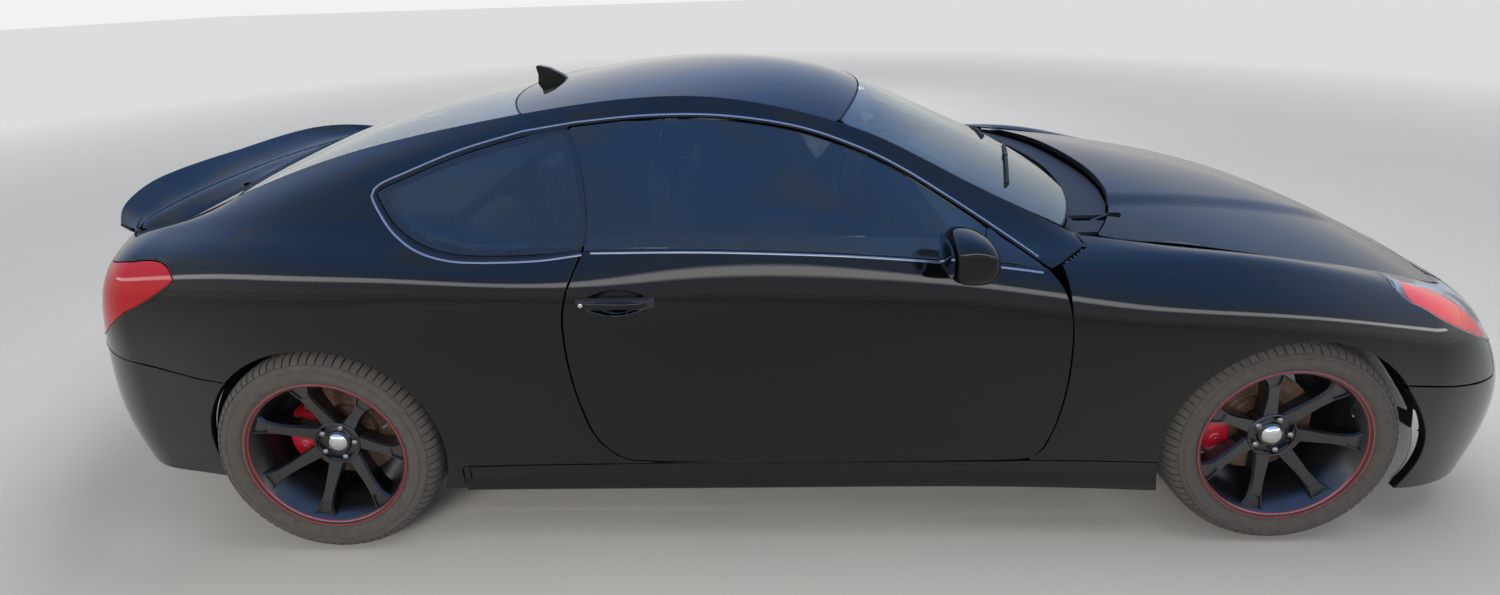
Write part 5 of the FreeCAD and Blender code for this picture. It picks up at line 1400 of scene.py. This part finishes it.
for x, z, radius in lampSet["projectors"]:
    spot = onSkin("front", [(x, z)], stations=lampLines["headStations"])
    facing = surfaceNormals(skinFront, spot)[0]
    centre = skinFront(spot)[0] - lampSet["projectorInset"] * facing
    lens = [(0, 20), (radius * 0.5, 18), (radius * 0.8, 12), (radius * 0.84, 8), (radius * 0.84, 0), (0, 0)]
    rimRing = [(radius * 0.84, 10), (radius, 16), (radius + 3, 15), (radius + 3, 0), (radius * 0.84, 0)]
    lampInner += [lathePart(centre, facing, lens, "glossBlackPlastic", 32),
                  lathePart(centre, facing, rimRing, "polishedCapChrome", 32)]
# the seal runs where the lens edge is in the open, not under the hood
sealLine = onSkin("front", grownLoop(headLamp, 2.0), stations=lampLines["headStations"])
hidden = insideHood(skinFront(sealLine))
sealLine = np.roll(sealLine, -int(np.argmax(hidden & ~np.roll(hidden, -1))) - 1, axis=0)
sealLine = sealLine[~insideHood(skinFront(sealLine))]
lensSeal = stripOnSkin(skinFront, sealLine, lampSet["sealWidth"], lampSet["sealHeight"], "bleachedSealRubber")
buildPiece("headLampUnits", onBothSides(lampInner), "body", ["head_lamps"])
buildPiece("headLampCovers", onBothSides([lensCover]), "body")
buildPiece("headLampSeals", onBothSides([lensSeal]), "body")
print("lamps built")

# Wheels, drawn about their own centre with the outer face towards -Y
caliper = {"halfSpan": 29, "clock": 180.0, "inner": 68, "outer": 20, "endTaper": 0.16, "pots": (-15.5, 15.5),
           "potInset": 24}
wheelSet = {
    "front": {"place": (1465.0, 800.0, 330.0), "radius": 330.0, "width": 225.0, "disc": 165.0},
    "rear": {"place": (-1355.0, 806.0, 339.0), "radius": 339.0, "width": 245.0, "disc": 160.0},
    "spokes": 7, "nuts": 5, "treadBlocks": 80, "segments": 120,
    "grooveYs": (-24.0, 24.0), "nutCircle": 53.5, "valveRadius": 218.0,
    # spoke, at a radius: half width and height of its face; its back rises from the hub to the rim
    "spokeWidth": [(58, 25), (80, 22.5), (150, 17), (186, 18.5), (206, 23.5), (229, 33)],
    "spokeRadii": (60, 68, 76, 100, 125, 150, 170, 184, 190, 191, 199, 206, 213, 221, 229),
    "spokeBack": (-33.0, -24.0), "bevel": 3.0, "pocketEdge": 6.5, "pocketFrom": 190, "pocketDeep": 4.0,
}
axle = (0.0, 1.0, 0.0)


def tyreParts(radius, width):
    half = width / 2
    # bead, rim protector rib, side wall with its raised band, rounded shoulder
    wall = [(236, -half + 27), (238, -half + 21), (242, -half + 14), (247, -half + 9.5), (251, -half + 7.4),
            (252.5, -half + 9.4), (255, -half + 9.2), (256.5, -half + 5.4), (264, -half + 2.4),
            (275, -half + 0.6), (286, -half), (288, -half + 0.2), (289.5, -half + 2.6), (292, -half + 2.6),
            (293.5, -half + 0.6),
            (radius - 32, -half + 2.0), (radius - 29.5, -half + 2.6), (radius - 28, -half + 5.6),
            (radius - 25, -half + 8.0), (radius - 20, -half + 13.0), (radius - 14, -half + 19.5),
            (radius - 10.5, -half + 27), (radius - 9, -half + 38)]
    tread = [(radius - 8, -half + 47), (radius, -half + 48), (radius, -half + 48)]
    for y in wheelSet["grooveYs"]:
        tread += [(radius, y - 5), (radius, y - 5), (radius - 7, y - 4), (radius - 7, y - 4),
                  (radius - 7, y + 4), (radius - 7, y + 4), (radius, y + 5), (radius, y + 5)]
    tread += [(radius, half - 48), (radius, half - 48), (radius - 8, half - 47)]
    profile = wall + tread + [(r, -y) for r, y in wall[::-1]]
    carcass = lathePart((0, 0, 0), axle, profile, "dustyTyreRubber", wheelSet["segments"])
    shoulder = [(radius - 24, -half + 4.4), (radius - 16, -half + 8.4), (radius - 9, -half + 15.0),
                (radius - 4, -half + 22.5), (radius - 1.4, -half + 30.5), (radius, -half + 40)]
    blocks = []
    pitch = 2 * math.pi / wheelSet["treadBlocks"]
    for flipped in (1, -1):
        loops = []
        for share in (0.0, 0.41, 0.82):
            outX, outZ = math.cos(share * pitch), math.sin(share * pitch)
            upper = [(r * outX, y * flipped, r * outZ) for r, y in shoulder]
            lower = [((r - 8) * outX, (y + 4) * flipped, (r - 8) * outZ) for r, y in shoulder]
            loops.append(upper + upper[-1:] + lower[::-1] + upper[:1])
        blocks.append(repeatedRing(gridPart(loops, "dustyTyreRubber", caps=True), wheelSet["treadBlocks"]))
    return [carcass] + blocks


def rimParts(width):
    half = width / 2
    barrel = lathePart((0, 0, 0), axle, [
        (236, -half + 21), (244, -half + 16), (248.4, -half + 12.5), (249, -half + 10), (248, -half + 7.4),
        (245, -half + 6.6), (240, -half + 7.4), (237.5, -half + 8.6), (236.5, -half + 10), (234.5, -half + 12),
        (232, -half + 16), (227, -half + 26), (221, -half + 38), (214, -half + 60), (208, -half + 90),
        (206, 10), (206, half - 32), (211, half - 22), (224, half - 12), (240, half - 8), (246, half - 9.5),
        (246, half - 12.5), (240, half - 15), (230, half - 22), (216, half - 32), (216, 10), (229, -half + 42)],
        "satinBlackWheelPaint", wheelSet["segments"])
    lips = ((246.6, -half + 6.9, 243.4, -half + 6.9), (236.9, -half + 9.4, 234.8, -half + 11.6))
    stripes = [lathePart((0, 0, 0), axle, [(a, ya - 0.1), (a, ya - 0.7), (b, yb - 0.7), (b, yb - 0.1)],
                         "redPinstripePaint", wheelSet["segments"]) for a, ya, b, yb in lips]
    hub = lathePart((0, 0, 0), axle, [
        (28, -28), (64, -28), (70, -44), (73, -58), (73, -63), (71, -66.5), (68.5, -67.5), (66.5, -66.5),
        (65.5, -63), (65, -56), (64, -54), (42, -54), (39, -56), (37.5, -61), (35, -64), (28, -64)],
        "satinBlackWheelPaint", 72)
    cap = lathePart((0, 0, 0), axle, [(0, -77), (7, -76.7), (15, -75.2), (22, -72.4), (27, -69), (30, -65.5),
                                      (31.5, -64.5), (31.5, -60), (0, -60)], "polishedCapChrome", 48)
    spokeFace = [(58, -61), (72, -65), (206, -half + 19.5), (229, -half + 18.5)]
    bevel, edge = wheelSet["bevel"], wheelSet["pocketEdge"]
    rings = []
    for r in wheelSet["spokeRadii"]:
        w, face = (float(np.interp(r, *zip(*line))) for line in (wheelSet["spokeWidth"], spokeFace))
        back = wheelSet["spokeBack"][0] + wheelSet["spokeBack"][1] * (r - 60) / 169
        inPocket = r > wheelSet["pocketFrom"]
        inner = w - edge - 0.8 * inPocket
        floor = face + wheelSet["pocketDeep"] * inPocket
        flank = [(w * 0.72, back), (w * 0.72, back), (w, face + 7), (w, face + 7), (w - bevel, face),
                 (w - bevel, face), (w - edge, face), (w - edge, face), (inner, floor), (inner, floor)]
        rings.append([(r, y, -x) for x, y in flank] + [(r, y, x) for x, y in flank[::-1]])
    spokes = repeatedRing(gridPart(rings, "satinBlackWheelPaint", caps=True), wheelSet["spokes"])
    nut = []
    for r, y in ((9.6, -54), (9.6, -61), (9.0, -64), (9.0, -64), (6.5, -67), (4.0, -68), (0.0, -68)):
        nut.append([(wheelSet["nutCircle"] + r * math.cos(a), y, r * math.sin(a))
                    for a in np.linspace(0, 2 * math.pi, 12, endpoint=False)])
    nuts = repeatedRing(gridPart(nut, "zincNutSteel"), wheelSet["nuts"])
    # the valve stands between two spokes and leans towards the hub
    outX, outZ = math.cos(math.pi / wheelSet["spokes"]), math.sin(math.pi / wheelSet["spokes"])
    valve = lathePart((wheelSet["valveRadius"] * outX, -half + 40, wheelSet["valveRadius"] * outZ),
                      (-0.5 * outX, -0.85, -0.5 * outZ),
                      [(0, 26), (3, 26), (3.4, 24), (3.4, 14), (4.6, 13), (5.2, 0), (0, 0)], "zincNutSteel", 16)
    return [barrel, hub, cap, spokes, nuts, valve] + stripes


def discParts(radius):
    return [lathePart((0, 0, 0), axle, [
        (100, 20), (radius - 1, 20), (radius, 19), (radius, 9), (radius, 9), (radius - 12, 9),
        (radius - 12, 3), (radius, 3), (radius, 3), (radius, -7), (radius - 1, -8), (97, -8), (96, -8),
        (94, -10), (92, -21), (90, -22), (31, -22), (31, -14), (84, -14), (84, 0), (100, 0)],
        "rustedDiscIron", 96)]


def caliperParts(radius):
    # four-pot block over the disc's edge, its bridge and the two pot bosses of the outer half
    angles = (np.radians(np.linspace(-caliper["halfSpan"], caliper["halfSpan"], 25))
              + math.radians(caliper["clock"]))
    rings = []
    for k, angle in enumerate(angles):
        ease = 1 - caliper["endTaper"] * abs(2 * k / (len(angles) - 1) - 1) ** 4
        inner, outer = radius - caliper["inner"], radius + caliper["outer"]
        middle = (inner + outer) / 2
        low, high = middle - (middle - inner) * ease, middle + (outer - middle) * ease
        section = [(low, -20), (low + 1, -30), (low + 8, -35), (high - 16, -35), (high - 5, -31),
                   (high, -22), (high, 44), (high - 5, 52), (low + 6, 54), (low, 48), (low, 30),
                   (low + 2, 27), (radius + 5, 26), (radius + 5, -14), (low + 2, -15)]
        rings.append([(r * math.cos(angle), y, -r * math.sin(angle)) for r, y in section])
    parts = [gridPart(rings, "redCaliperEnamel", caps=True)]
    boss = [(0, 37.5), (15, 37.2), (19, 36.2), (21, 34), (21.5, 30), (0, 30)]
    bolt = [(0, 38.4), (5, 38.2), (6, 37.2), (6, 34), (0, 34)]
    for offset in caliper["pots"]:
        angle = math.radians(caliper["clock"] + offset)
        potRadius = radius - caliper["potInset"]
        place = (potRadius * math.cos(angle), 0, -potRadius * math.sin(angle))
        parts += [lathePart(place, (0, -1, 0), boss, "redCaliperEnamel", 40),
                  lathePart(place, (0, -1, 0), bolt, "zincNutSteel", 6)]
    return parts


def atWheel(end, parts):
    x, y, z = wheelSet[end]["place"]
    return [movedPart(part, (x, -y, z)) for part in parts]


for end in ("front", "rear"):
    wheel = wheelSet[end]
    for label, parts, node in (("tyreBuilt", tyreParts(wheel["radius"], wheel["width"]), "tyre"),
                               ("rimBuilt", rimParts(wheel["width"]), "rim"),
                               ("discBuilt", discParts(wheel["disc"]), "brake_disc")):
        buildSides("%s_%s_" % (label, end), atWheel(end, parts), "wheel_%s_" % end, "%s_%s_" % (node, end))
calipers = {end: atWheel(end, caliperParts(wheelSet[end]["disc"])) for end in ("front", "rear")}
buildSides("caliperBuilt_", calipers["front"], "knuckle_", "front_caliper_")
buildPiece("rearCalipersBuilt", onBothSides(calipers["rear"]), "body", ["rear_calipers"])
print("wheels built")

# Door mirrors
mirror = {
    "outline": [(-62, -40), (-54, -58), (30, -62), (58, -40), (64, 4), (44, 44), (0, 62), (-44, 58), (-62, 36)],
    "centre": (522.0, 965.0),
    # how much of the outline is left at each y
    "scales": [(-868, 0.72), (-874, 0.82), (-890, 0.92), (-910, 0.97), (-935, 1.0), (-960, 0.985),
               (-980, 0.935), (-995, 0.85), (-1004, 0.74), (-1009, 0.6), (-1011.5, 0.42), (-1012, 0.2)],
    "glassX": 459.3,
    "glass": [(-883, 925), (-940, 916), (-985, 926), (-998, 962), (-985, 1000), (-940, 1012), (-890, 1006),
              (-879, 965)],
    # foot: y, rear and front x, lower and upper z
    "foot": [(-838, 506, 600, 874, 908), (-852, 508, 597, 878, 916), (-868, 511, 592, 884, 926),
             (-888, 514, 588, 892, 938), (-908, 517, 584, 902, 948), (-926, 521, 578, 912, 952)],
    "footSquareness": 0.6,
    "sail": [(612, 890), (680, 880), (778, 864), (735, 894), (690, 921), (655, 944), (636, 925), (620, 905)],
}
mirrorLoop = smoothed(mirror["outline"], 7.0, closed=True)
centreX, centreZ = mirror["centre"]
housing = gridPart([[(centreX + scale * dx, y, centreZ + scale * dz) for dx, dz in mirrorLoop]
                    for y, scale in mirror["scales"]], "lacqueredBlackPaint", caps=True)

glassLoop = smoothed(mirror["glass"], 6.0, closed=True)
mirrorGlass = meshPart([(mirror["glassX"], y, z) for y, z in glassLoop], [tuple(range(len(glassLoop)))],
                       "silveredMirrorGlass")
squared = lambda value: math.copysign(abs(value) ** mirror["footSquareness"], value)
footRings = []
for y, x0, x1, z0, z1 in mirror["foot"]:
    middleX, middleZ, halfX, halfZ = (x0 + x1) / 2, (z0 + z1) / 2, (x1 - x0) / 2, (z1 - z0) / 2
    footRings.append([(middleX + halfX * squared(math.cos(a)), y, middleZ + halfZ * squared(math.sin(a)))
                      for a in np.linspace(0, 2 * math.pi, 28, endpoint=False)])
foot = gridPart(footRings, "glossBlackPlastic", caps=True)
sail = panelPart(setIn(skinCabin, 1.0), onSkin("cabin", smoothed(mirror["sail"], 8.0, closed=True)),
                 "glossBlackPlastic", step=10.0, radius=1.0, flange=4.0)
buildSides("mirrorBuilt_", [housing, mirrorGlass, foot, sail], "door_", "mirror_")
print("mirrors built")

# Wipers: pivot and tip in plan, half the blade's length
wipers = {
    "pair": [((1075, 120), (893, -310), 270.0), ((1040, 480), (950, 130), 250.0)],
    "pivotSink": 14.0, "tipRise": 13.0, "bow": 16.0, "bladeRise": 6.5,
    "boss": [(0, 24), (9, 23), (12, 18), (13, 0), (0, 0)],
    "arm": [(-6, -3), (-6, 2), (-3, 4), (3, 4), (6, 2), (6, -3)],
    "blade": [(-1.5, -6), (-5, 0), (-4, 5), (0, 7), (4, 5), (5, 0), (1.5, -6)],
}


def wiperParts(pivot, tip, bladeHalf):
    pivotPoint = np.array((*pivot, float(roofZ(*pivot)) - wipers["pivotSink"]))
    tipPoint = np.array((*tip, float(roofZ(*tip)) + wipers["tipRise"]))
    middle = (pivotPoint + tipPoint) / 2 + (0, 0, wipers["bow"])
    arm = smoothed([pivotPoint + (0, 0, wipers["pivotSink"]), middle, tipPoint], 12.0)
    direction = (tipPoint - pivotPoint)[:2] / np.linalg.norm((tipPoint - pivotPoint)[:2])
    bladeLine = [tipPoint[:2] + direction * d for d in np.linspace(-bladeHalf, bladeHalf, 41)]
    blade = [(x, y, float(roofZ(x, y)) + wipers["bladeRise"]) for x, y in bladeLine]
    return [sweepPart(arm, (0, 0, 1), wipers["arm"], "grainedBlackPlastic"),
            lathePart(pivotPoint, (0.25, 0, 1), wipers["boss"], "grainedBlackPlastic", 24),
            sweepPart(blade, (0, 0, 1), wipers["blade"], "siliconeSealRubber")]


buildPiece("wiperPair", [part for wiper in wipers["pair"] for part in wiperParts(*wiper)], "body")
print("wipers built")

# Seats: crowned cushions with sewn channels and piping, one object to a cushion
seatShapes = {
    # side profile (x, z), centre and half width along y, places of the sewn channels, height of the bolsters
    "cushion": {"centre": 398.0, "half": 228.0, "channels": (-118.0, 118.0), "bolster": 16.0,
                "profile": [(-305, 258), (225, 256), (246, 300), (240, 378), (196, 412), (60, 396),
                            (-120, 376), (-250, 368), (-306, 352)]},
    "back": {"centre": 398.0, "half": 222.0, "channels": (-112.0, 112.0), "bolster": 18.0,
             "profile": [(-306, 306), (-200, 334), (-214, 440), (-262, 620), (-330, 852), (-398, 876),
                         (-434, 842), (-400, 640), (-350, 440)]},
    "headrest": {"centre": 398.0, "half": 126.0, "channels": (), "bolster": 0.0,
                 "profile": [(-352, 886), (-346, 980), (-342, 1052), (-380, 1080), (-416, 1070),
                             (-406, 980), (-398, 900)]},
    "rearCushion": {"centre": 340.0, "half": 176.0, "channels": (-60.0, 60.0), "bolster": 10.0,
                    "profile": [(-948, 190), (-566, 190), (-546, 300), (-548, 418), (-602, 444),
                                (-760, 418), (-918, 394)]},
    "rearBack": {"centre": 340.0, "half": 176.0, "channels": (-60.0, 60.0), "bolster": 10.0,
                 "profile": [(-936, 392), (-866, 410), (-912, 560), (-968, 720), (-1024, 868),
                             (-1086, 884), (-1060, 720), (-996, 560)]},
}
padding = {"sideRound": 0.55, "edgeRound": 0.34, "channelDepth": 9.0, "channelWidth": 9.0, "tuckHeight": 2.2,
           "tucksApart": 9, "pipingAt": 0.93, "pipingRadius": 4.0, "pipingLift": 3.0}
seatFoot = {"centreY": -398.0, "outline": [(-250, -185), (180, -185), (180, 185), (-250, 185)],
            "levels": ((182, 0.96), (186, 1.0), (250, 1.0), (254, 0.97)),
            "postX": -364.0, "postHalf": 55, "postFoot": 840, "post": [(0, 90), (6, 90), (6, 0), (0, 0)]}


def cushionParts(shape):
    # a crowned pad between its side seams, with piping along both of them
    loop = smoothed(shape["profile"], 15.0, closed=True)
    centroid = loop.mean(axis=0)
    away = loop - centroid
    length = np.linalg.norm(away, axis=1)[:, None]
    tuckWave = np.cos(np.arange(len(loop)) * 2 * math.pi / padding["tucksApart"])[:, None]
    rings = []
    for turn in np.linspace(-math.pi / 2 + 0.02, math.pi / 2 - 0.02, 61):
        y = shape["half"] * math.copysign(abs(math.sin(turn)) ** padding["sideRound"], turn)
        out = abs(y) / shape["half"]
        rise = shape["bolster"] * eased((out - 0.5) / 0.3) * (1 - eased((out - 0.84) / 0.16))
        for channel in shape["channels"]:
            rise -= padding["channelDepth"] * math.exp(-((y - channel) / padding["channelWidth"]) ** 2)
        tucks = padding["tuckHeight"] * tuckWave * (abs(y) < shape["half"] * 0.5)
        ring = centroid + away * (abs(math.cos(turn)) ** padding["edgeRound"] * (1 + (rise + tucks) / length))
        rings.append([(x, y - shape["centre"], z) for x, z in ring])
    parts = [gridPart(rings, "perforatedSeatLeather", caps=True)]
    thread = padding["pipingRadius"]
    section = [(thread * math.cos(a), padding["pipingLift"] + thread * math.sin(a))
               for a in np.linspace(0, 2 * math.pi, 8, endpoint=False)]
    turn = math.asin(padding["pipingAt"] ** (1 / padding["sideRound"]))
    ring = centroid + away * math.cos(turn) ** padding["edgeRound"]
    for side in (-1, 1):
        y = side * padding["pipingAt"] * shape["half"] - shape["centre"]
        points = np.array([(x, y, z) for x, z in ring])
        ups = points - np.array([centroid[0], y, centroid[1]])
        parts.append(sweepPart(points, ups / np.linalg.norm(ups, axis=1)[:, None], section,
                               "stitchedSeatPiping", closed=True))
    return parts


footLoop = smoothed(seatFoot["outline"], 20.0, closed=True)
base = gridPart([[(x * scale, seatFoot["centreY"] + y * scale, z) for x, y in footLoop]
                 for z, scale in seatFoot["levels"]], "grainedTrimPlastic", caps=True)
posts = [lathePart((seatFoot["postX"], y + seatFoot["centreY"], seatFoot["postFoot"]), (-0.02, 0, 1),
                   seatFoot["post"], "polishedCapChrome", 16)
         for y in (-seatFoot["postHalf"], seatFoot["postHalf"])]
buildPiece("seatBases", onBothSides([base] + posts), "body", ["front_seats"])
for label, shape in seatShapes.items():
    for sideName, flip in sides:
        pad = buildPiece("%sPad_%s" % (label, sideName), sided(cushionParts(shape), flip), "body",
                         ["rear_seat"] if (label, sideName) == ("rearCushion", "right") else ())
print("seats built")

# Cabin and mechanical parts keep the solids and get their real finishes
finishes = {
    "grainedBlackPlastic": ["cowl", "grille", "rear_shelf", "wheel_liners"],
    "grainedTrimPlastic": ["dashboard", "steering_wheel"],
    "sprayedUnderbodyWax": ["floor_pan", "front_frame", "rear_frame", "hinge_pillars"],
    "castIron": ["engine_block", "knuckle_left", "knuckle_right"],
    "brushedExhaustSteel": ["exhaust"],
}
for finish, names in finishes.items():
    for name in names:
        for slot in nodes[name].material_slots:
            slot.material = materials[finish]
print("carried-over solids finished")


# Camera, where the photograph was taken from: metres, radians and pixels
photoFrame = {"width": 1500, "height": 595}
cameraView = {"place": (-0.0458, -2.3064, 1.6868), "yaw": -0.0284, "pitch": -0.1956, "roll": -0.0321,
              "focalPixels": 552.5, "shiftPixels": (-13.0, -203.0)}


def addCamera():
    yaw, pitch, roll = cameraView["yaw"], cameraView["pitch"], cameraView["roll"]
    ahead = Vector((math.sin(yaw) * math.cos(pitch), math.cos(yaw) * math.cos(pitch), math.sin(pitch)))
    right = Vector((math.cos(yaw), -math.sin(yaw), 0.0))
    up = right.cross(ahead)
    turnedRight = math.cos(roll) * right + math.sin(roll) * up
    turnedUp = -math.sin(roll) * right + math.cos(roll) * up
    data = bpy.data.cameras.new("photoCamera")
    data.lens = cameraView["focalPixels"] / photoFrame["width"] * data.sensor_width
    data.shift_x = -cameraView["shiftPixels"][0] / photoFrame["width"]
    data.shift_y = cameraView["shiftPixels"][1] / photoFrame["width"]
    data.clip_end = 200.0
    camera = bpy.data.objects.new("photoCamera", data)
    turn = Matrix((turnedRight, turnedUp, -ahead)).transposed().to_4x4()
    camera.matrix_world = Matrix.Translation(cameraView["place"]) @ turn
    bpy.context.scene.collection.objects.link(camera)
    bpy.context.scene.camera = camera


addCamera()

# Studio: pale floor, soft lamps overhead and at the sides, pale sky seen by camera and reflections
studio = {
    "floorHalf": 60.0, "floorColour": "#cbcac6", "floorTones": ((0.0, "#c5c4c0"), (1.0, "#cfceca")),
    "backdrop": "#dcdddc", "fadeFrom": 3.5, "fadeTo": 12.0,
    "horizon": "#f1f2f3", "zenith": "#6f9fe6", "zenithGain": 2.3, "skyFrom": 0.05, "skyTo": 0.75,
    "cloudStretch": (1.0, 1.0, 4.0), "cloudFrom": 0.5, "cloudTo": 0.74, "cloudShare": 0.75,
    "fill": "#e9edf2", "fillStrength": 0.42,
    # name, place, target, size in metres, watts, colour
    "lamps": [("overheadLamp", (0.5, 0.5, 5.5), (0, 0, 0), (7.0, 3.0), 260.0, "#ffffff"),
              ("sideLamp", (-2.5, -6.0, 3.6), (0, 0, 0.5), (3.0, 2.0), 190.0, "#fff8ee"),
              ("rearSideLamp", (1.0, 6.5, 3.6), (0, 0, 0.5), (4.0, 2.0), 140.0, "#ffffff")],
}
stripCard = {"y": -6.2, "z": 2.75, "halfLength": 30.0, "halfHeight": 0.62, "strength": 5.5, "softness": 0.35}


def addBoard(name, corners, material):
    mesh = bpy.data.meshes.new(name)
    mesh.from_pydata(corners, [], [(0, 1, 2, 3)])
    mesh.materials.append(materials[material])
    board = bpy.data.objects.new(name, mesh)
    bpy.context.scene.collection.objects.link(board)
    return board


def mixedShader(tree, share, first, second):
    return addNode(tree, "ShaderNodeMixShader", None, {0: share, 1: first, 2: second}).outputs[0]


def seenRays(tree):
    # 1 for what the camera sees, straight, in reflections or through glass, and 0 for the light on things
    path = addNode(tree, "ShaderNodeLightPath")
    direct = twoInputs(tree, "MAXIMUM", path.outputs["Is Camera Ray"], path.outputs["Is Glossy Ray"])
    return twoInputs(tree, "MAXIMUM", direct, path.outputs["Is Transmission Ray"])


def addFloor():
    tree, shader = newMaterial("paintedStudioFloor", studio["floorColour"], Roughness=0.85)
    mottled(tree, shader, noiseOn(tree, 1.3, 6.0), studio["floorTones"])
    away = addNode(tree, "ShaderNodeVectorMath", {"operation": "LENGTH"}, {0: objectPlace(tree)})
    fade = addNode(tree, "ShaderNodeMapRange", {"From Min": studio["fadeFrom"], "From Max": studio["fadeTo"]},
                   {"Value": away.outputs["Value"]})
    plain = addNode(tree, "ShaderNodeEmission")
    plain.inputs["Color"].default_value = linear(studio["backdrop"])
    share = twoInputs(tree, "MULTIPLY", seenRays(tree), fade.outputs["Result"])
    mix = mixedShader(tree, share, shader.outputs["BSDF"], plain.outputs["Emission"])
    tree.links.new(tree.nodes["Material Output"].inputs["Surface"], mix)
    half = studio["floorHalf"]
    addBoard("studioFloor", [(-half, -half, 0), (half, -half, 0), (half, half, 0), (-half, half, 0)],
                      "paintedStudioFloor")


def addWorld():
    world = bpy.data.worlds.new("studioWorld")
    world.use_nodes = True
    tree = world.node_tree
    tree.nodes.clear()
    direction = addNode(tree, "ShaderNodeTexCoord").outputs["Generated"]
    height = addNode(tree, "ShaderNodeMapRange", {"From Min": studio["skyFrom"], "From Max": studio["skyTo"]},
                     {"Value": heightOf(tree, direction)})
    zenith = [studio["zenithGain"] * c for c in linear(studio["zenith"])[:3]] + [1.0]
    sky = mixedColour(tree, height.outputs["Result"], linear(studio["horizon"]), zenith)
    stretched = addNode(tree, "ShaderNodeVectorMath", {"operation": "MULTIPLY"}, {0: direction})
    stretched.inputs[1].default_value = studio["cloudStretch"]
    wisps = addNode(tree, "ShaderNodeTexNoise", {"Scale": 1.6, "Detail": 7.0, "Roughness": 0.62},
                    {"Vector": stretched.outputs[0]})
    haze = addNode(tree, "ShaderNodeMapRange",
                   {"From Min": studio["cloudFrom"], "From Max": studio["cloudTo"],
                    "To Max": studio["cloudShare"]}, {"Value": wisps.outputs["Fac"]})
    clouded = mixedColour(tree, haze.outputs["Result"], sky, linear(studio["horizon"]))
    seen = addNode(tree, "ShaderNodeBackground", {"Strength": 1.0}, {"Color": clouded})
    lit = addNode(tree, "ShaderNodeBackground", {"Strength": studio["fillStrength"]})
    lit.inputs["Color"].default_value = linear(studio["fill"])
    mix = mixedShader(tree, seenRays(tree), lit.outputs[0], seen.outputs[0])
    addNode(tree, "ShaderNodeOutputWorld", None, {"Surface": mix})
    bpy.context.scene.world = world


def addLamp(name, place, target, size, watts, colour):
    data = bpy.data.lights.new(name, "AREA")
    data.shape = "RECTANGLE"
    data.size, data.size_y = size
    data.energy = watts
    data.color = linear(colour)[:3]
    lamp = bpy.data.objects.new(name, data)
    lamp.visible_glossy = False
    aim = Vector(target) - Vector(place)
    lamp.matrix_world = Matrix.Translation(place) @ aim.to_track_quat("-Z", "Y").to_matrix().to_4x4()
    bpy.context.scene.collection.objects.link(lamp)


def addStripCard():
    # long diffuser beside the car, seen only in the paint's reflections, soft at its edges
    tree, _ = newMaterial("stripDiffuser", "#ffffff")
    away = addNode(tree, "ShaderNodeMath", {"operation": "ABSOLUTE"}, {0: heightOf(tree, objectPlace(tree))})
    share = addNode(tree, "ShaderNodeMapRange",
                    {"interpolation_type": "SMOOTHSTEP", "From Min": stripCard["halfHeight"],
                     "From Max": stripCard["halfHeight"] * stripCard["softness"]}, {"Value": away.outputs[0]})
    glow = addNode(tree, "ShaderNodeEmission", {"Strength": stripCard["strength"]})
    clear = addNode(tree, "ShaderNodeBsdfTransparent")
    mix = mixedShader(tree, share.outputs["Result"], clear.outputs[0], glow.outputs[0])
    tree.links.new(tree.nodes["Material Output"].inputs["Surface"], mix)
    long, high = stripCard["halfLength"], stripCard["halfHeight"]
    board = addBoard("stripCard", [(-long, 0, -high), (long, 0, -high), (long, 0, high), (-long, 0, high)],
                     "stripDiffuser")
    board.location = (0.0, stripCard["y"], stripCard["z"])
    board.visible_camera = board.visible_diffuse = board.visible_transmission = board.visible_shadow = False


addFloor()
addWorld()
addStripCard()
for lampValues in studio["lamps"]:
    addLamp(*lampValues)
bpy.context.scene.view_settings.view_transform = "Standard"
print("camera and studio ready")
